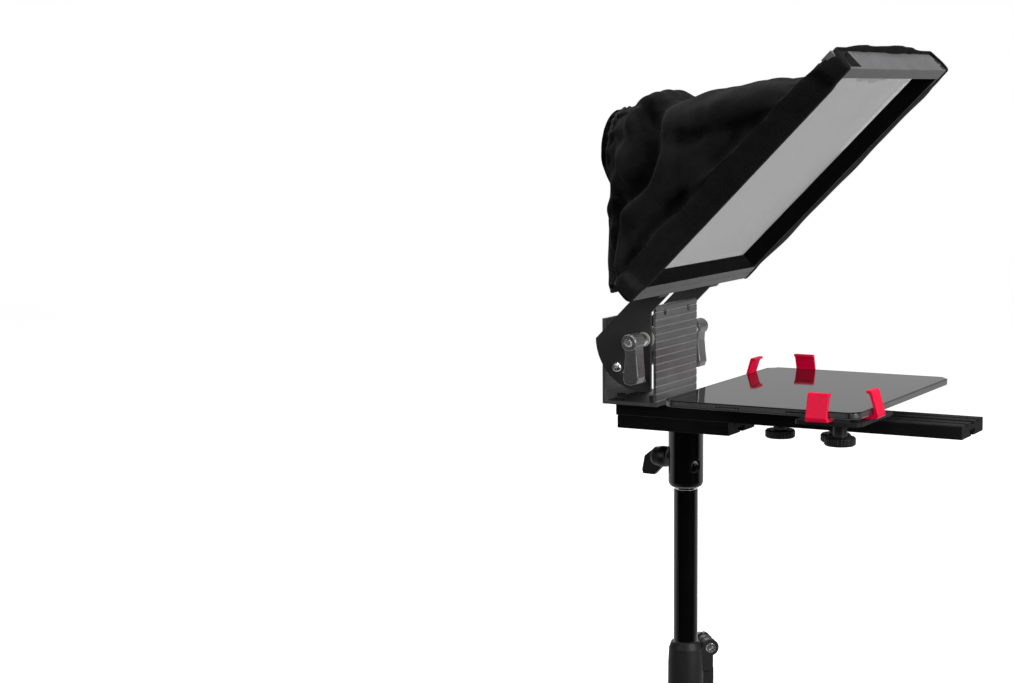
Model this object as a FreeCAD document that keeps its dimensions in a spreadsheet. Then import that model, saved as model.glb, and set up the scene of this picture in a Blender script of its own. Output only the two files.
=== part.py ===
import FreeCAD, Part
import math
import os
import Sketcher

# Teleprompter head on the top section of a light stand: riser and socket, base rail, tilting
# mirror frame with a fabric hood, and a cradle that holds a tablet flat under the glass.
# Frame: origin on the stand's axis at the bottom end of the lower tube, +Z up,
# +X towards the reader (the side the tablet and the glass face), Y across the rig.
# Left is -Y and right is +Y, as the reader sees them.
# The camera lens enters the hood's sleeve from -X.

Vector = FreeCAD.Vector
doc = FreeCAD.newDocument("teleprompter")
sheet = doc.addObject("Spreadsheet::Sheet", "Dims")

# Driving dimensions in mm and degrees. Heights and places are in the frame above.
SIZES = [
    # stand section
    ("lower_od", 28.0), ("lower_wall", 1.5), ("lower_len", 105.0), ("grip_len", 60.0),
    ("riser_od", 22.4), ("riser_wall", 1.5), ("riser_bottom", 26.0), ("riser_top", 293.3),
    ("collar_bottom", 66.0), ("collar_top", 148.7), ("collar_dia", 33.6),
    ("clamp_turn", 42.0), ("clamp_height", 143.0), ("clamp_reach", 21.5), ("lug_dia", 15.8),
    ("spigot_dia", 15.9), ("spigot_len", 39.0),
    ("socket_dia", 32.4), ("socket_bottom", 295.6), ("socket_bore", 16.0),
    ("socket_depth", 47.0), ("wing_screw_height", 322.0), ("wing_screw_dia", 8.0),
    # adaptor block, base rail and upright
    ("block_len", 111.0), ("rail_wide", 61.0), ("rail_thick", 12.0), ("block_bottom", 351.0),
    ("rail_bottom", 363.0), ("rail_back", 57.0), ("rail_len", 327.5), ("rail_top", 375.0),
    ("slot_from", 56.0), ("slot_to", 216.0), ("slot_wide", 7.0),
    ("upright_deep", 54.7), ("upright_front", 9.2), ("upright_wide", 88.9),
    ("upright_tall", 92.3), ("upright_wall", 3.0), ("rear_drop", 13.4),
    ("rib_pitch", 6.8), ("rib_depth", 0.9), ("rib_count", 13.0),
    ("plate_hole_dia", 6.5), ("plate_hole_span", 50.8), ("plate_hole_drop", 7.0),
    # tilting wings
    ("pivot_x", -20.2), ("pivot_z", 437.0), ("wing_reach", 48.5), ("wing_thick", 3.0),
    ("wing_inner", 45.5), ("pivot_dia", 8.0), ("slot_reach", 37.5), ("guide_dia", 4.0),
    # mirror frame
    ("frame_x", 16.1), ("frame_z", 490.85), ("frame_tilt", 45.0), ("glass_tall", 251.7),
    ("glass_wide", 242.4), ("frame_deep", 21.0), ("top_face", 11.0), ("bottom_face", 16.5),
    ("side_face", 6.0), ("top_over", 131.0), ("glass_thick", 3.0), ("glass_back", 16.5),
    ("groove", 3.2),
    # hood
    ("sleeve_x", -66.0), ("sleeve_z", 602.3), ("sleeve_r", 40.0), ("hood_skin", 1.6),
    # cradle and tablet
    ("tablet_x", 122.65), ("tablet_short", 178.5), ("tablet_long", 247.6),
    ("tablet_thick", 5.9), ("tablet_bottom", 389.0), ("cradle_turn", -54.2),
    ("bar_len", 222.0), ("bar_wide", 34.0), ("bar_thick", 3.0), ("bar_bottom", 379.0),
    ("arm_thick", 3.5), ("knob_reach", 96.9), ("saddle_knob_gap", 53.0),
    ("knob_dia", 27.0), ("knob_tall", 7.5), ("clip_wide", 19.0), ("clip_thick", 3.0),
]
for row, (alias, value) in enumerate(SIZES, 1):
    sheet.set("A%d" % row, alias.replace("_", " "))
    sheet.set("B%d" % row, "%g" % value)
    sheet.setAlias("B%d" % row, alias)
doc.recompute()


class Size:
    """A size: its number, and the sheet expression that drives it."""

    def __init__(self, value, formula):
        self.value = float(value)
        self.formula = formula

    @staticmethod
    def of(other):
        return other if isinstance(other, Size) else Size(other, "(%g)" % other)

    def __add__(self, other):
        other = Size.of(other)
        return Size(self.value + other.value, "(%s + %s)" % (self.formula, other.formula))

    def __sub__(self, other):
        other = Size.of(other)
        return Size(self.value - other.value, "(%s - %s)" % (self.formula, other.formula))

    def __rsub__(self, other):
        return Size.of(other) - self

    def __mul__(self, other):
        other = Size.of(other)
        return Size(self.value * other.value, "(%s * %s)" % (self.formula, other.formula))

    def __truediv__(self, other):
        other = Size.of(other)
        return Size(self.value / other.value, "(%s / %s)" % (self.formula, other.formula))

    def __neg__(self):
        return Size(-self.value, "(0 - %s)" % self.formula)


class Sizes:
    """Reads the sheet's aliases as Size values."""

    def __getattr__(self, name):
        return Size(getattr(sheet, name), "Dims.%s" % name)


dim = Sizes()
PIECES = []


# ---------------------------------------------------------------- placing
def number(size):
    return size.value if isinstance(size, Size) else float(size)


def bind(obj, prop, size):
    """Sets a property, and drives it from the sheet when the value is a Size."""
    if isinstance(size, Size):
        obj.setExpression(prop, size.formula)
    else:
        setattr(obj, prop, size)


def place(obj, base=(0, 0, 0), rot=None):
    obj.Placement = FreeCAD.Placement(Vector(*[number(c) for c in base]),
                                      rot or FreeCAD.Rotation())
    for coordinate, axis in zip(base, "xyz"):
        if isinstance(coordinate, Size):
            obj.setExpression("Placement.Base.%s" % axis, coordinate.formula)
    return obj


def turn(axis, degrees):
    return FreeCAD.Rotation(Vector(*axis), degrees)


# rotations named by where they send local +Z
Z_TO_Y = turn((1, 0, 0), -90)
Z_TO_NEG_Y = turn((1, 0, 0), 90)
Z_TO_X = turn((0, 1, 0), 90)
Z_TO_NEG_X = turn((0, 1, 0), -90)
Z_DOWN = turn((1, 0, 0), 180)


def piece(obj, label, base=None, rot=None):
    """Labels an object as one exported piece, and places it when a place is given."""
    if base is not None or rot is not None:
        place(obj, base or (0, 0, 0), rot)
    obj.Label = label
    PIECES.append(obj)


# ---------------------------------------------------------------- PartDesign helpers
def new_body(label):
    body = doc.addObject("PartDesign::Body", label + "_body")
    body.Label = label
    return body


def origin_part(body, role):
    return [f for f in body.Origin.OriginFeatures if f.Role == role][0]


def new_sketch(body, role, offset=0):
    sketch = body.newObject("Sketcher::SketchObject", "Sketch")
    sketch.AttachmentSupport = [(origin_part(body, role), "")]
    sketch.MapMode = "FlatFace"
    sketch.AttachmentOffset = FreeCAD.Placement(Vector(0, 0, number(offset)),
                                                FreeCAD.Rotation())
    if isinstance(offset, Size):
        sketch.setExpression("AttachmentOffset.Base.z", offset.formula)
    return sketch


def pin(sketch, geometry, point, x, y):
    """Fixes a point from the sketch origin; a zero distance puts it on the axis instead."""
    for kind, size, axis in (("DistanceX", x, -2), ("DistanceY", y, -1)):
        if abs(number(size)) < 1e-9:
            sketch.addConstraint(Sketcher.Constraint("PointOnObject", geometry, point, axis))
            continue
        index = sketch.addConstraint(
            Sketcher.Constraint(kind, -1, 1, geometry, point, number(size)))
        if isinstance(size, Size):
            sketch.setExpression("Constraints[%d]" % index, size.formula)


def polygon(sketch, points):
    count = len(points)
    corners = [Vector(number(x), number(y), 0) for x, y in points]
    lines = [sketch.addGeometry(Part.LineSegment(corners[i], corners[(i + 1) % count]), False)
             for i in range(count)]
    for i in range(count):
        sketch.addConstraint(
            Sketcher.Constraint("Coincident", lines[i], 2, lines[(i + 1) % count], 1))
    for i in range(count):
        pin(sketch, lines[i], 1, *points[i])
    return sketch


def rectangle(sketch, x0, y0, x1, y1):
    return polygon(sketch, [(x0, y0), (x1, y0), (x1, y1), (x0, y1)])


def circle(sketch, x, y, radius):
    ring = sketch.addGeometry(
        Part.Circle(Vector(number(x), number(y), 0), Vector(0, 0, 1), number(radius)), False)
    index = sketch.addConstraint(Sketcher.Constraint("Radius", ring, number(radius)))
    if isinstance(radius, Size):
        sketch.setExpression("Constraints[%d]" % index, radius.formula)
    pin(sketch, ring, 3, x, y)
    return sketch


def outline(body, role, points, offset=0):
    return polygon(new_sketch(body, role, offset), points)


def mirrored(half):
    """Closes a half outline with its mirror image across the vertical axis."""
    return half + [(-x, y) for x, y in reversed(half)]


def pad(body, sketch, length, rev=False, mid=False):
    feature = body.newObject("PartDesign::Pad", "Pad")
    feature.Profile = sketch
    bind(feature, "Length", length)
    if mid:
        feature.SideType = "Symmetric"
    feature.Reversed = rev
    return feature


def pocket(body, sketch, length=None, rev=False):
    """Cuts against the sketch normal, along it when rev is set, or right through both ways."""
    feature = body.newObject("PartDesign::Pocket", "Pocket")
    feature.Profile = sketch
    if length is None:
        feature.Type = "ThroughAll"
        feature.SideType = "Symmetric"
    else:
        bind(feature, "Length", length)
        feature.Reversed = rev
    return feature


def drill(body, role, offset, radius, spots, length=None, rev=False):
    """Round holes of one radius, all from one sketch."""
    sketch = new_sketch(body, role, offset)
    for x, y in spots:
        circle(sketch, x, y, radius)
    return pocket(body, sketch, length, rev)


def linear_pattern(body, feature, axis_role, length, count):
    doc.recompute()
    pattern = body.newObject("PartDesign::LinearPattern", "LinearPattern")
    pattern.Originals = [feature]
    pattern.Direction = (origin_part(body, axis_role), [""])
    pattern.Mode = "Extent"
    bind(pattern, "Length", length)
    bind(pattern, "Occurrences", count)
    body.Tip = pattern


def fillet(body, base, test, radius):
    """Rounds the edges of the feature 'base' that pass 'test'."""
    doc.recompute()
    names = ["Edge%d" % i for i, edge in enumerate(base.Shape.Edges, 1) if test(edge)]
    if not names:
        raise RuntimeError("no edges to fillet on " + body.Label)
    feature = body.newObject("PartDesign::Fillet", "Fillet")
    feature.Base = (base, names)
    feature.Radius = radius
    body.Tip = feature
    return feature


def edge_at_height(*heights):
    return lambda edge: any(abs(edge.CenterOfMass.z - z) < 0.01 for z in heights)


def turned(label, profile):
    """A turned body: profile is (radius, height) points, revolved about the local Z axis."""
    body = new_body(label)
    sketch = outline(body, "XZ_Plane", profile)
    feature = body.newObject("PartDesign::Revolution", "Revolution")
    feature.Profile = sketch
    feature.ReferenceAxis = (sketch, ["V_Axis"])
    feature.Angle = 360
    return body


def turned_piece(label, profile, base=None, rot=None):
    piece(turned(label, profile), label, base, rot)


# ---------------------------------------------------------------- Part helpers
def box(x, y, z, length, width, height):
    obj = doc.addObject("Part::Box", "Box")
    bind(obj, "Length", length)
    bind(obj, "Width", width)
    bind(obj, "Height", height)
    return place(obj, (x, y, z))


def cylinder(x, y, z, radius, height, rot=None):
    obj = doc.addObject("Part::Cylinder", "Cylinder")
    bind(obj, "Radius", radius)
    bind(obj, "Height", height)
    return place(obj, (x, y, z), rot)


def cut(base, tool):
    obj = doc.addObject("Part::Cut", "Cut")
    obj.Base, obj.Tool = base, tool
    return obj


def fuse(*shapes):
    obj = doc.addObject("Part::MultiFuse", "Fusion")
    obj.Shapes = list(shapes)
    return obj


def group(*shapes):
    """Keeps pieces together without joining them."""
    obj = doc.addObject("Part::Compound", "Group")
    obj.Links = list(shapes)
    return obj


# ---------------------------------------------------------------- shared hardware
def cap_screw(base, rot, shank, head, hex_radius):
    """Socket-head cap screw; shank and head are (radius, length).

    The head rises from local z=0 and the shank runs down from it.
    """
    shank_radius, shank_length = shank
    head_radius, head_height = head
    body = turned("screw", [
        (0, -shank_length), (shank_radius - 0.4, -shank_length),
        (shank_radius, -shank_length + 0.4), (shank_radius, 0), (head_radius, 0),
        (head_radius, head_height - 0.4), (head_radius - 0.4, head_height), (0, head_height)])
    angles = [math.radians(60 * k + 30) for k in range(6)]
    hexagon = [(hex_radius * math.cos(a), hex_radius * math.sin(a)) for a in angles]
    pocket(body, outline(body, "XY_Plane", hexagon, head_height), head_height * 0.55)
    return place(body, base, rot)


def fluted_knob(label, dia, tall, boss_radius, boss_height, flutes, flute_radius, sink):
    """Disc from local z=0 to 'tall' with a boss above it, bored for a 6 mm bolt.

    The flutes round its rim have their centres 'sink' short of just touching it.
    """
    bore = 3.05
    rim = dia / 2
    body = turned(label, [
        (bore, 0), (rim - 1.2, 0), (rim, 1.2), (rim, tall - 1.2), (rim - 1.2, tall),
        (boss_radius, tall), (boss_radius, tall + boss_height), (bore, tall + boss_height)])
    flute = drill(body, "XY_Plane", 0, flute_radius, [(rim + flute_radius - sink, 0)])
    pattern = body.newObject("PartDesign::PolarPattern", "PolarPattern")
    pattern.Originals = [flute]
    pattern.Axis = (origin_part(body, "Z_Axis"), [""])
    pattern.Angle = 360
    pattern.Occurrences = flutes
    body.Tip = pattern
    return body


# ================================================================ stand section
lower_radius = dim.lower_od / 2
lower_bore = lower_radius - dim.lower_wall
riser_radius = dim.riser_od / 2
riser_bore = riser_radius - dim.riser_wall
spigot_radius = dim.spigot_dia / 2

# lower tube: the fixed outer tube of the stand's centre column
turned_piece("stand_lower_tube", [
    (lower_bore, 0), (lower_radius, 0), (lower_radius, dim.grip_len),
    (lower_radius - 0.2, dim.grip_len), (lower_radius - 0.2, dim.lower_len),
    (lower_bore, dim.lower_len)])

# riser tube, which slides inside it
turned_piece("stand_riser_tube", [
    (riser_bore, dim.riser_bottom), (riser_radius, dim.riser_bottom),
    (riser_radius, dim.riser_top - 0.6), (riser_radius - 0.6, dim.riser_top),
    (riser_bore, dim.riser_top)])

# plastic bushing fixed on the riser's lower end, running in the lower tube
bushing_top = dim.riser_bottom + 28
turned_piece("riser_bushing", [
    (riser_radius, dim.riser_bottom), (lower_bore - 0.05, dim.riser_bottom),
    (lower_bore - 0.05, bushing_top), (riser_radius, bushing_top)])

# spigot: plug in the riser, shoulder ring, and the pin that the socket drops over
plug_bottom = dim.riser_top - 26
spigot_top = dim.riser_top + dim.spigot_len
turned_piece("stand_spigot", [
    (0, plug_bottom), (riser_bore, plug_bottom), (riser_bore, dim.riser_top),
    (riser_radius - 1.2, dim.riser_top), (riser_radius - 1.2, dim.riser_top + 2),
    (spigot_radius, dim.riser_top + 2), (spigot_radius, spigot_top - 1),
    (spigot_radius - 1, spigot_top), (0, spigot_top)])

# collar: moulded clamp on the lower tube's top end, with a split lug.
# It is modelled with the lug towards local +X and the bolt along local Y, then turned.
CLAMP_TURN = turn((0, 0, 1), sheet.clamp_turn)
LUG_WIDE = 19.0
BOLT_SEAT_Y = -7.0                # face under the bolt's head
collar_radius = dim.collar_dia / 2
collar_core = turned("collar_core", [
    (lower_radius - 0.2, dim.collar_bottom), (collar_radius - 1.5, dim.collar_bottom),
    (collar_radius, dim.collar_bottom + 3), (collar_radius - 0.4, dim.collar_top - 20),
    (collar_radius - 1.2, dim.collar_top - 6), (collar_radius - 3.4, dim.collar_top),
    (riser_radius + 0.05, dim.collar_top), (riser_radius + 0.05, dim.lower_len + 0.2),
    (lower_radius - 0.2, dim.lower_len + 0.2)])
lug = cylinder(dim.clamp_reach, -LUG_WIDE / 2, dim.clamp_height, dim.lug_dia / 2, LUG_WIDE,
               Z_TO_Y)
lug_web = box(12.5, -LUG_WIDE / 2, dim.clamp_height - 22, dim.clamp_reach - 10, LUG_WIDE, 22.0)
collar_rib = box(13.0, -6.5, dim.collar_bottom + 6, 12.4, 13.0,
                 dim.clamp_height - dim.collar_bottom - 26)
lug_side = cut(fuse(lug, lug_web, collar_rib), cylinder(0, 0, 0, lower_radius + 0.6, 400.0))
collar_solid = fuse(collar_core, lug_side)
slit = box(5.0, -1.0, dim.lower_len + 8, 40.0, 2.0, 80.0)
bolt_hole = cylinder(dim.clamp_reach, -40.0, dim.clamp_height, 3.05, 80.0, Z_TO_Y)
head_seat = cylinder(dim.clamp_reach, BOLT_SEAT_Y - 2.6, dim.clamp_height, 4.6, 2.6, Z_TO_Y)
piece(cut(collar_solid, fuse(slit, bolt_hole, head_seat)), "stand_collar", rot=CLAMP_TURN)

# clamp bolt, with its head towards local -Y; the knob turns on its free end
clamp_bolt = cap_screw((dim.clamp_reach, BOLT_SEAT_Y, dim.clamp_height), Z_TO_NEG_Y,
                       shank=(3.0, 27.5), head=(4.4, 3.6), hex_radius=2.4)
piece(group(clamp_bolt), "collar_bolt", rot=CLAMP_TURN)

COLLAR_KNOB_TALL = 8.0
COLLAR_KNOB_BOSS = 1.3
collar_knob_y = 10.0 + COLLAR_KNOB_TALL + COLLAR_KNOB_BOSS     # its outer face, local Y
clamp_cos = math.cos(math.radians(sheet.clamp_turn))
clamp_sin = math.sin(math.radians(sheet.clamp_turn))
collar_knob = fluted_knob("collar_knob", dim.lug_dia + 2.2, COLLAR_KNOB_TALL,
                          boss_radius=5.0, boss_height=COLLAR_KNOB_BOSS,
                          flutes=8, flute_radius=2.2, sink=0.9)
piece(collar_knob, "collar_knob",
      (dim.clamp_reach * clamp_cos - collar_knob_y * clamp_sin,
       dim.clamp_reach * clamp_sin + collar_knob_y * clamp_cos, dim.clamp_height),
      CLAMP_TURN * Z_TO_NEG_Y)

# ================================================================ socket adaptor and its screws
socket_radius = dim.socket_dia / 2
bore_radius = dim.socket_bore / 2
bore_top = dim.socket_bottom + dim.socket_depth
socket_core = turned("socket_core", [
    (bore_radius, dim.socket_bottom), (socket_radius - 3.4, dim.socket_bottom),
    (socket_radius - 1.2, dim.socket_bottom + 1.6), (socket_radius, dim.socket_bottom + 4.4),
    (socket_radius, dim.block_bottom), (4.0, dim.block_bottom), (4.0, bore_top),
    (bore_radius, bore_top)])
# wing screw hole, through the -X wall only
drill(socket_core, "YZ_Plane", 0, dim.wing_screw_dia / 2 + 0.05,
      [(0, dim.wing_screw_height)], 40.0)
# side port with a wider seat outside it
PORT_ANGLE = -33.4                # about +Z from +X
PORT_SEAT_REACH = 15.2            # from the axis to the floor of the seat
port_turn = turn((0, 0, 1), PORT_ANGLE) * Z_TO_X
port_z = dim.wing_screw_height - 4.7
side_port = cylinder(0, 0, port_z, 4.0, 40.0, port_turn)
side_seat = cylinder(PORT_SEAT_REACH * math.cos(math.radians(PORT_ANGLE)),
                     PORT_SEAT_REACH * math.sin(math.radians(PORT_ANGLE)),
                     port_z, 6.5, 10.0, port_turn)
piece(cut(socket_core, fuse(side_port, side_seat)), "socket_adaptor")

# M8 screw that ties the socket to the block
piece(cap_screw((0, 0, bore_top), Z_DOWN, shank=(4.0, 13.5), head=(6.6, 5.0), hex_radius=3.4),
      "socket_bolt")

# wing screw: stud and hub along -X, fused with a flat swept wing
handle_hub = turned("handle_hub", [
    (0, 8.4), (3.4, 8.4), (4.0, 9.4), (4.0, 17.6), (8.2, 17.6), (9.6, 18.8), (9.9, 24.0),
    (8.6, 31.0), (6.5, 33.5), (0, 33.5)])
place(handle_hub, (0, 0, dim.wing_screw_height), Z_TO_NEG_X)
HANDLE_THICK = 8.4
# (x, z) about the screw's axis
HANDLE_OUTLINE = [
    (-21.0, 8.2), (-30.2, 8.6), (-41.0, 0.0), (-43.6, -13.6), (-42.4, -17.2), (-31.0, -17.4),
    (-23.6, -9.6), (-21.0, -8.6)]
handle_wing = new_body("handle_wing")
handle_pad = pad(handle_wing, outline(handle_wing, "XZ_Plane", HANDLE_OUTLINE), HANDLE_THICK,
                 mid=True)
fillet(handle_wing, handle_pad,
       lambda edge: abs(abs(edge.CenterOfMass.y) - HANDLE_THICK / 2) < 0.01, 1.4)
place(handle_wing, (0, 0, dim.wing_screw_height))
piece(fuse(handle_hub, handle_wing), "wing_screw")

# ================================================================ adaptor block and base rail
SLOT_ROOF = 5.4                   # T-slot's roof above the extrusion's underside
BLOCK_SCREWS = [(-38, 0), (38, 0)]
UPRIGHT_SCREWS = [(x, y) for x in (-54.0, -21.0) for y in (-25.0, 25.0)]


def rail_extrusion(label, start, length):
    """Flat aluminium extrusion along X: grooves on top, one T-slot underneath."""
    body = new_body(label)
    edge = dim.rail_wide / 2
    top = dim.rail_thick
    # +Y half of the section, (y, z) from the slot's roof round to the middle groove
    half = [
        (7.2, SLOT_ROOF), (7.2, 2.0), (3.4, 2.0), (3.4, 0), (edge - 0.8, 0), (edge, 0.8),
        (edge, top - 0.8), (edge - 0.8, top), (18.2, top), (17.6, top - 3.0),
        (14.4, top - 3.0), (13.8, top), (3.45, top), (3.45, top - 2.6)]
    pad(body, outline(body, "YZ_Plane", mirrored(half), start), length)
    return body


block = rail_extrusion("adaptor_block", -dim.block_len / 2, dim.block_len)
holes = circle(new_sketch(block, "XY_Plane"), 0, 0, 4.0)
for x, y in BLOCK_SCREWS:
    circle(holes, x, y, 3.0)
pocket(block, holes)
drill(block, "XY_Plane", 0, 5.3, BLOCK_SCREWS, SLOT_ROOF, rev=True)
piece(block, "adaptor_block", (0, 0, dim.block_bottom))

rail = rail_extrusion("base_rail", -dim.rail_back, dim.rail_len)
holes = rectangle(new_sketch(rail, "XY_Plane"), dim.slot_from, -dim.slot_wide / 2,
                  dim.slot_to, dim.slot_wide / 2)
for x, y in BLOCK_SCREWS:
    circle(holes, x, y, 3.0)
for x, y in UPRIGHT_SCREWS:
    circle(holes, x, y, 2.5)
pocket(rail, holes)
piece(rail, "base_rail", (0, 0, dim.rail_bottom))


def slot_nut(x, underside, hole_radius):
    """Drilled nut bar in the T-slot of the extrusion whose underside is given."""
    return cut(box(x - 9.0, -7.0, underside + 2.05, 18.0, 14.0, 3.3),
               cylinder(x, 0, underside, hole_radius, 20.0))


# the screws draw the block up to the nuts in the rail; the socket bolt has one in the block
piece(group(*[cap_screw((x, y, dim.block_bottom + SLOT_ROOF), Z_DOWN, shank=(3.0, 12.0),
                        head=(5.0, 4.6), hex_radius=2.5) for x, y in BLOCK_SCREWS]),
      "block_screws")
piece(group(*[slot_nut(x, dim.rail_bottom, 3.0) for x, y in BLOCK_SCREWS],
            slot_nut(0, dim.block_bottom, 4.0)), "slot_nuts")

# ================================================================ upright channel
# The guide screws sit below and behind the pivot, this many degrees under the horizontal.
GUIDE_ANGLE = math.radians(45)
guide_x = dim.pivot_x - dim.slot_reach * math.cos(GUIDE_ANGLE)
guide_z = dim.pivot_z - dim.slot_reach * math.sin(GUIDE_ANGLE)

# open-topped channel: tall front plate, lower rear plate, a boss on the front plate for the
# pivot and one on the rear plate for the guide screws
upright = new_body("upright_channel")
wall = dim.upright_wall
front = -dim.upright_front
rear = front - dim.upright_deep
inner_front = front - wall
inner_rear = rear + wall
front_top = dim.upright_tall
rear_top = front_top - dim.rear_drop
section = outline(upright, "XZ_Plane", [
    (rear, 0), (front, 0), (front, front_top - 1.2), (front - 1.2, front_top),
    (inner_front, front_top),
    # pivot boss
    (inner_front, 73.0), (inner_front - 3, 71.0), (inner_front - 12.5, 71.0),
    (inner_front - 15.5, 68.0), (inner_front - 15.5, 56.0), (inner_front - 12.5, 53.0),
    (inner_front - 3, 53.0), (inner_front, 51.0),
    # floor
    (inner_front, wall), (inner_rear, wall),
    # guide boss
    (inner_rear, 28.6), (inner_rear + 3, 29.6), (inner_rear + 17.0, 29.6),
    (inner_rear + 19.5, 32.0), (inner_rear + 19.5, 39.3), (inner_rear + 17.0, 41.8),
    (inner_rear + 3, 41.8), (inner_rear, 42.8),
    (inner_rear, rear_top), (rear, rear_top)])
pad(upright, section, dim.upright_wide, mid=True)
holes = new_sketch(upright, "XZ_Plane")
circle(holes, dim.pivot_x, dim.pivot_z - dim.rail_top, dim.pivot_dia / 2 + 0.05)
circle(holes, guide_x, guide_z - dim.rail_top, dim.guide_dia / 2)
pocket(upright, holes)
# V grooves across the front face
groove_cut = pocket(upright, outline(upright, "XZ_Plane", [
    (front - dim.rib_depth, 5.2), (front + 0.4, 4.4), (front + 0.4, 6.0)]))
linear_pattern(upright, groove_cut, "Z_Axis", dim.rib_pitch * (dim.rib_count - 1),
               dim.rib_count)
# holes near the front plate's top, then the floor's screw holes
drill(upright, "YZ_Plane", front + 1, dim.plate_hole_dia / 2,
      [(dim.plate_hole_span * (side * 0.5), front_top - dim.plate_hole_drop)
       for side in (-1, 1)], wall + 3)
drill(upright, "XY_Plane", 6, 2.55, UPRIGHT_SCREWS, 12.0)
piece(upright, "upright_channel", (0, 0, dim.rail_top))

piece(group(*[cap_screw((x, y, dim.rail_top + wall), None, shank=(2.5, 13.0),
                        head=(4.25, 4.6), hex_radius=2.1) for x, y in UPRIGHT_SCREWS]),
      "upright_screws")

# ================================================================ wings, pivot and guide screws
# Mirror frame coordinates: local X up the slope, local Z to the rear of the glass, Y across.
FRAME_TURN = turn((0, 1, 0), -sheet.frame_tilt)
TILT = math.cos(math.radians(sheet.frame_tilt))      # at 45 degrees the sine is the same
FRAME_BASE = (dim.frame_x, 0, dim.frame_z)

# the pivot in those coordinates
pivot_dx = sheet.pivot_x - sheet.frame_x
pivot_dz = sheet.pivot_z - sheet.frame_z
pivot_slope = (pivot_dx + pivot_dz) * TILT
pivot_normal = (pivot_dz - pivot_dx) * TILT

wing_outer = dim.wing_inner + dim.wing_thick
FLANGE_WIDE = 16.5                # flange beyond the wing plate
FLANGE_HOLE_Z = (5.0, 12.5)       # local z of the flange screws
flange_hole_y = dim.wing_inner + 11.5
SLOT_START, SLOT_END = 222.5, 270.5     # arc slot's ends, degrees from +X towards +Z


def wing(label, side):
    """Side plate about the pivot: lobe with an arc slot, and an arm up the slope.

    A flange bends outward from the arm under the bottom rail.
    """
    thick = dim.wing_thick
    plate_y = dim.wing_inner if side > 0 else -wing_outer
    cutter_y, cutter_wide = plate_y - 1, thick + 2
    lobe = cylinder(0, plate_y, 0, dim.wing_reach, thick, Z_TO_Y)
    front_trim = box(7.0, cutter_y, -80.0, 80.0, cutter_wide, 160.0)
    rear_trim = place(group(box(-100.0, cutter_y, dim.frame_deep - pivot_normal,
                                200.0, cutter_wide, 100.0)), rot=FRAME_TURN)
    lobe = cut(cut(lobe, front_trim), rear_trim)

    rail_under = -pivot_slope - dim.bottom_face
    arm = box(-6.0, plate_y, -pivot_normal, rail_under + 6.0, thick, dim.frame_deep)
    flange_y = plate_y if side > 0 else plate_y - FLANGE_WIDE
    flange = box(rail_under - thick, flange_y, -pivot_normal, thick, thick + FLANGE_WIDE,
                 dim.frame_deep)
    flange_holes = fuse(*[cylinder(rail_under - 10, flange_hole_y * side, z - pivot_normal,
                                   2.05, 20.0, Z_TO_X) for z in FLANGE_HOLE_Z])
    arm = place(cut(fuse(arm, flange), flange_holes), rot=FRAME_TURN)

    pivot_hole = cylinder(0, cutter_y, 0, dim.pivot_dia / 2 + 0.06, cutter_wide, Z_TO_Y)
    half_slot = dim.guide_dia / 2 + 0.15
    slot_outer = cylinder(0, cutter_y, 0, dim.slot_reach + half_slot, cutter_wide,
                          turn((0, 1, 0), -SLOT_END) * Z_TO_Y)
    slot_outer.Angle = SLOT_END - SLOT_START
    slot_inner = cylinder(0, plate_y - 2, 0, dim.slot_reach - half_slot, thick + 4, Z_TO_Y)
    slot_ends = [cylinder(dim.slot_reach * math.cos(math.radians(angle)), cutter_y,
                          dim.slot_reach * math.sin(math.radians(angle)),
                          half_slot, cutter_wide, Z_TO_Y)
                 for angle in (SLOT_START, SLOT_END)]
    cutters = fuse(pivot_hole, cut(slot_outer, slot_inner), *slot_ends)
    piece(cut(fuse(lobe, arm), cutters), label, (dim.pivot_x, 0, dim.pivot_z))


wing("wing_left", -1)
wing("wing_right", 1)

# pivot rod right through the channel
piece(cylinder(dim.pivot_x, -66.0, dim.pivot_z, dim.pivot_dia / 2, 132.0, Z_TO_Y), "pivot_rod")


def pivot_ring(y, radius, thick):
    """Washer on the pivot rod, from y towards +Y."""
    return cut(cylinder(dim.pivot_x, y, dim.pivot_z, radius, thick, Z_TO_Y),
               cylinder(dim.pivot_x, y - 1, dim.pivot_z, dim.pivot_dia / 2, 4.0, Z_TO_Y))


# plain washers outside the wings, spacers between the wings and the channel
WASHER_THICK = 1.5
spacer_thick = dim.wing_inner - dim.upright_wide / 2 - 0.02
piece(group(pivot_ring(wing_outer, 6.6, WASHER_THICK),
            pivot_ring(-wing_outer - WASHER_THICK, 6.6, WASHER_THICK),
            pivot_ring(dim.upright_wide / 2, 9.0, spacer_thick),
            pivot_ring(-dim.wing_inner + 0.02, 9.0, spacer_thick)), "pivot_washers")


def guide_screw(side):
    """Cross-recessed screw that runs in the wing's arc slot."""
    body = turned("guide", [
        (0, -16.0), (2.0, -16.0), (2.0, 0.1), (4.3, 0.1), (4.3, 1.5), (3.4, 2.7), (1.6, 3.1),
        (0, 3.1)])
    tip, half = 2.3, 0.45         # the cross's arm length and half width
    cross = [
        (-tip, -half), (-half, -half), (-half, -tip), (half, -tip), (half, -half),
        (tip, -half), (tip, half), (half, half), (half, tip), (-half, tip), (-half, half),
        (-tip, half)]
    pocket(body, outline(body, "XY_Plane", cross, 3.2), 1.4)
    return place(body, (guide_x, wing_outer * side, guide_z), Z_TO_Y if side > 0 else Z_TO_NEG_Y)


piece(group(guide_screw(1), guide_screw(-1)), "guide_screws")

# ---------------------------------------------------------------- ratchet levers
BLADE_BOTTOM, BLADE_THICK = 10.6, 16.4
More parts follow.
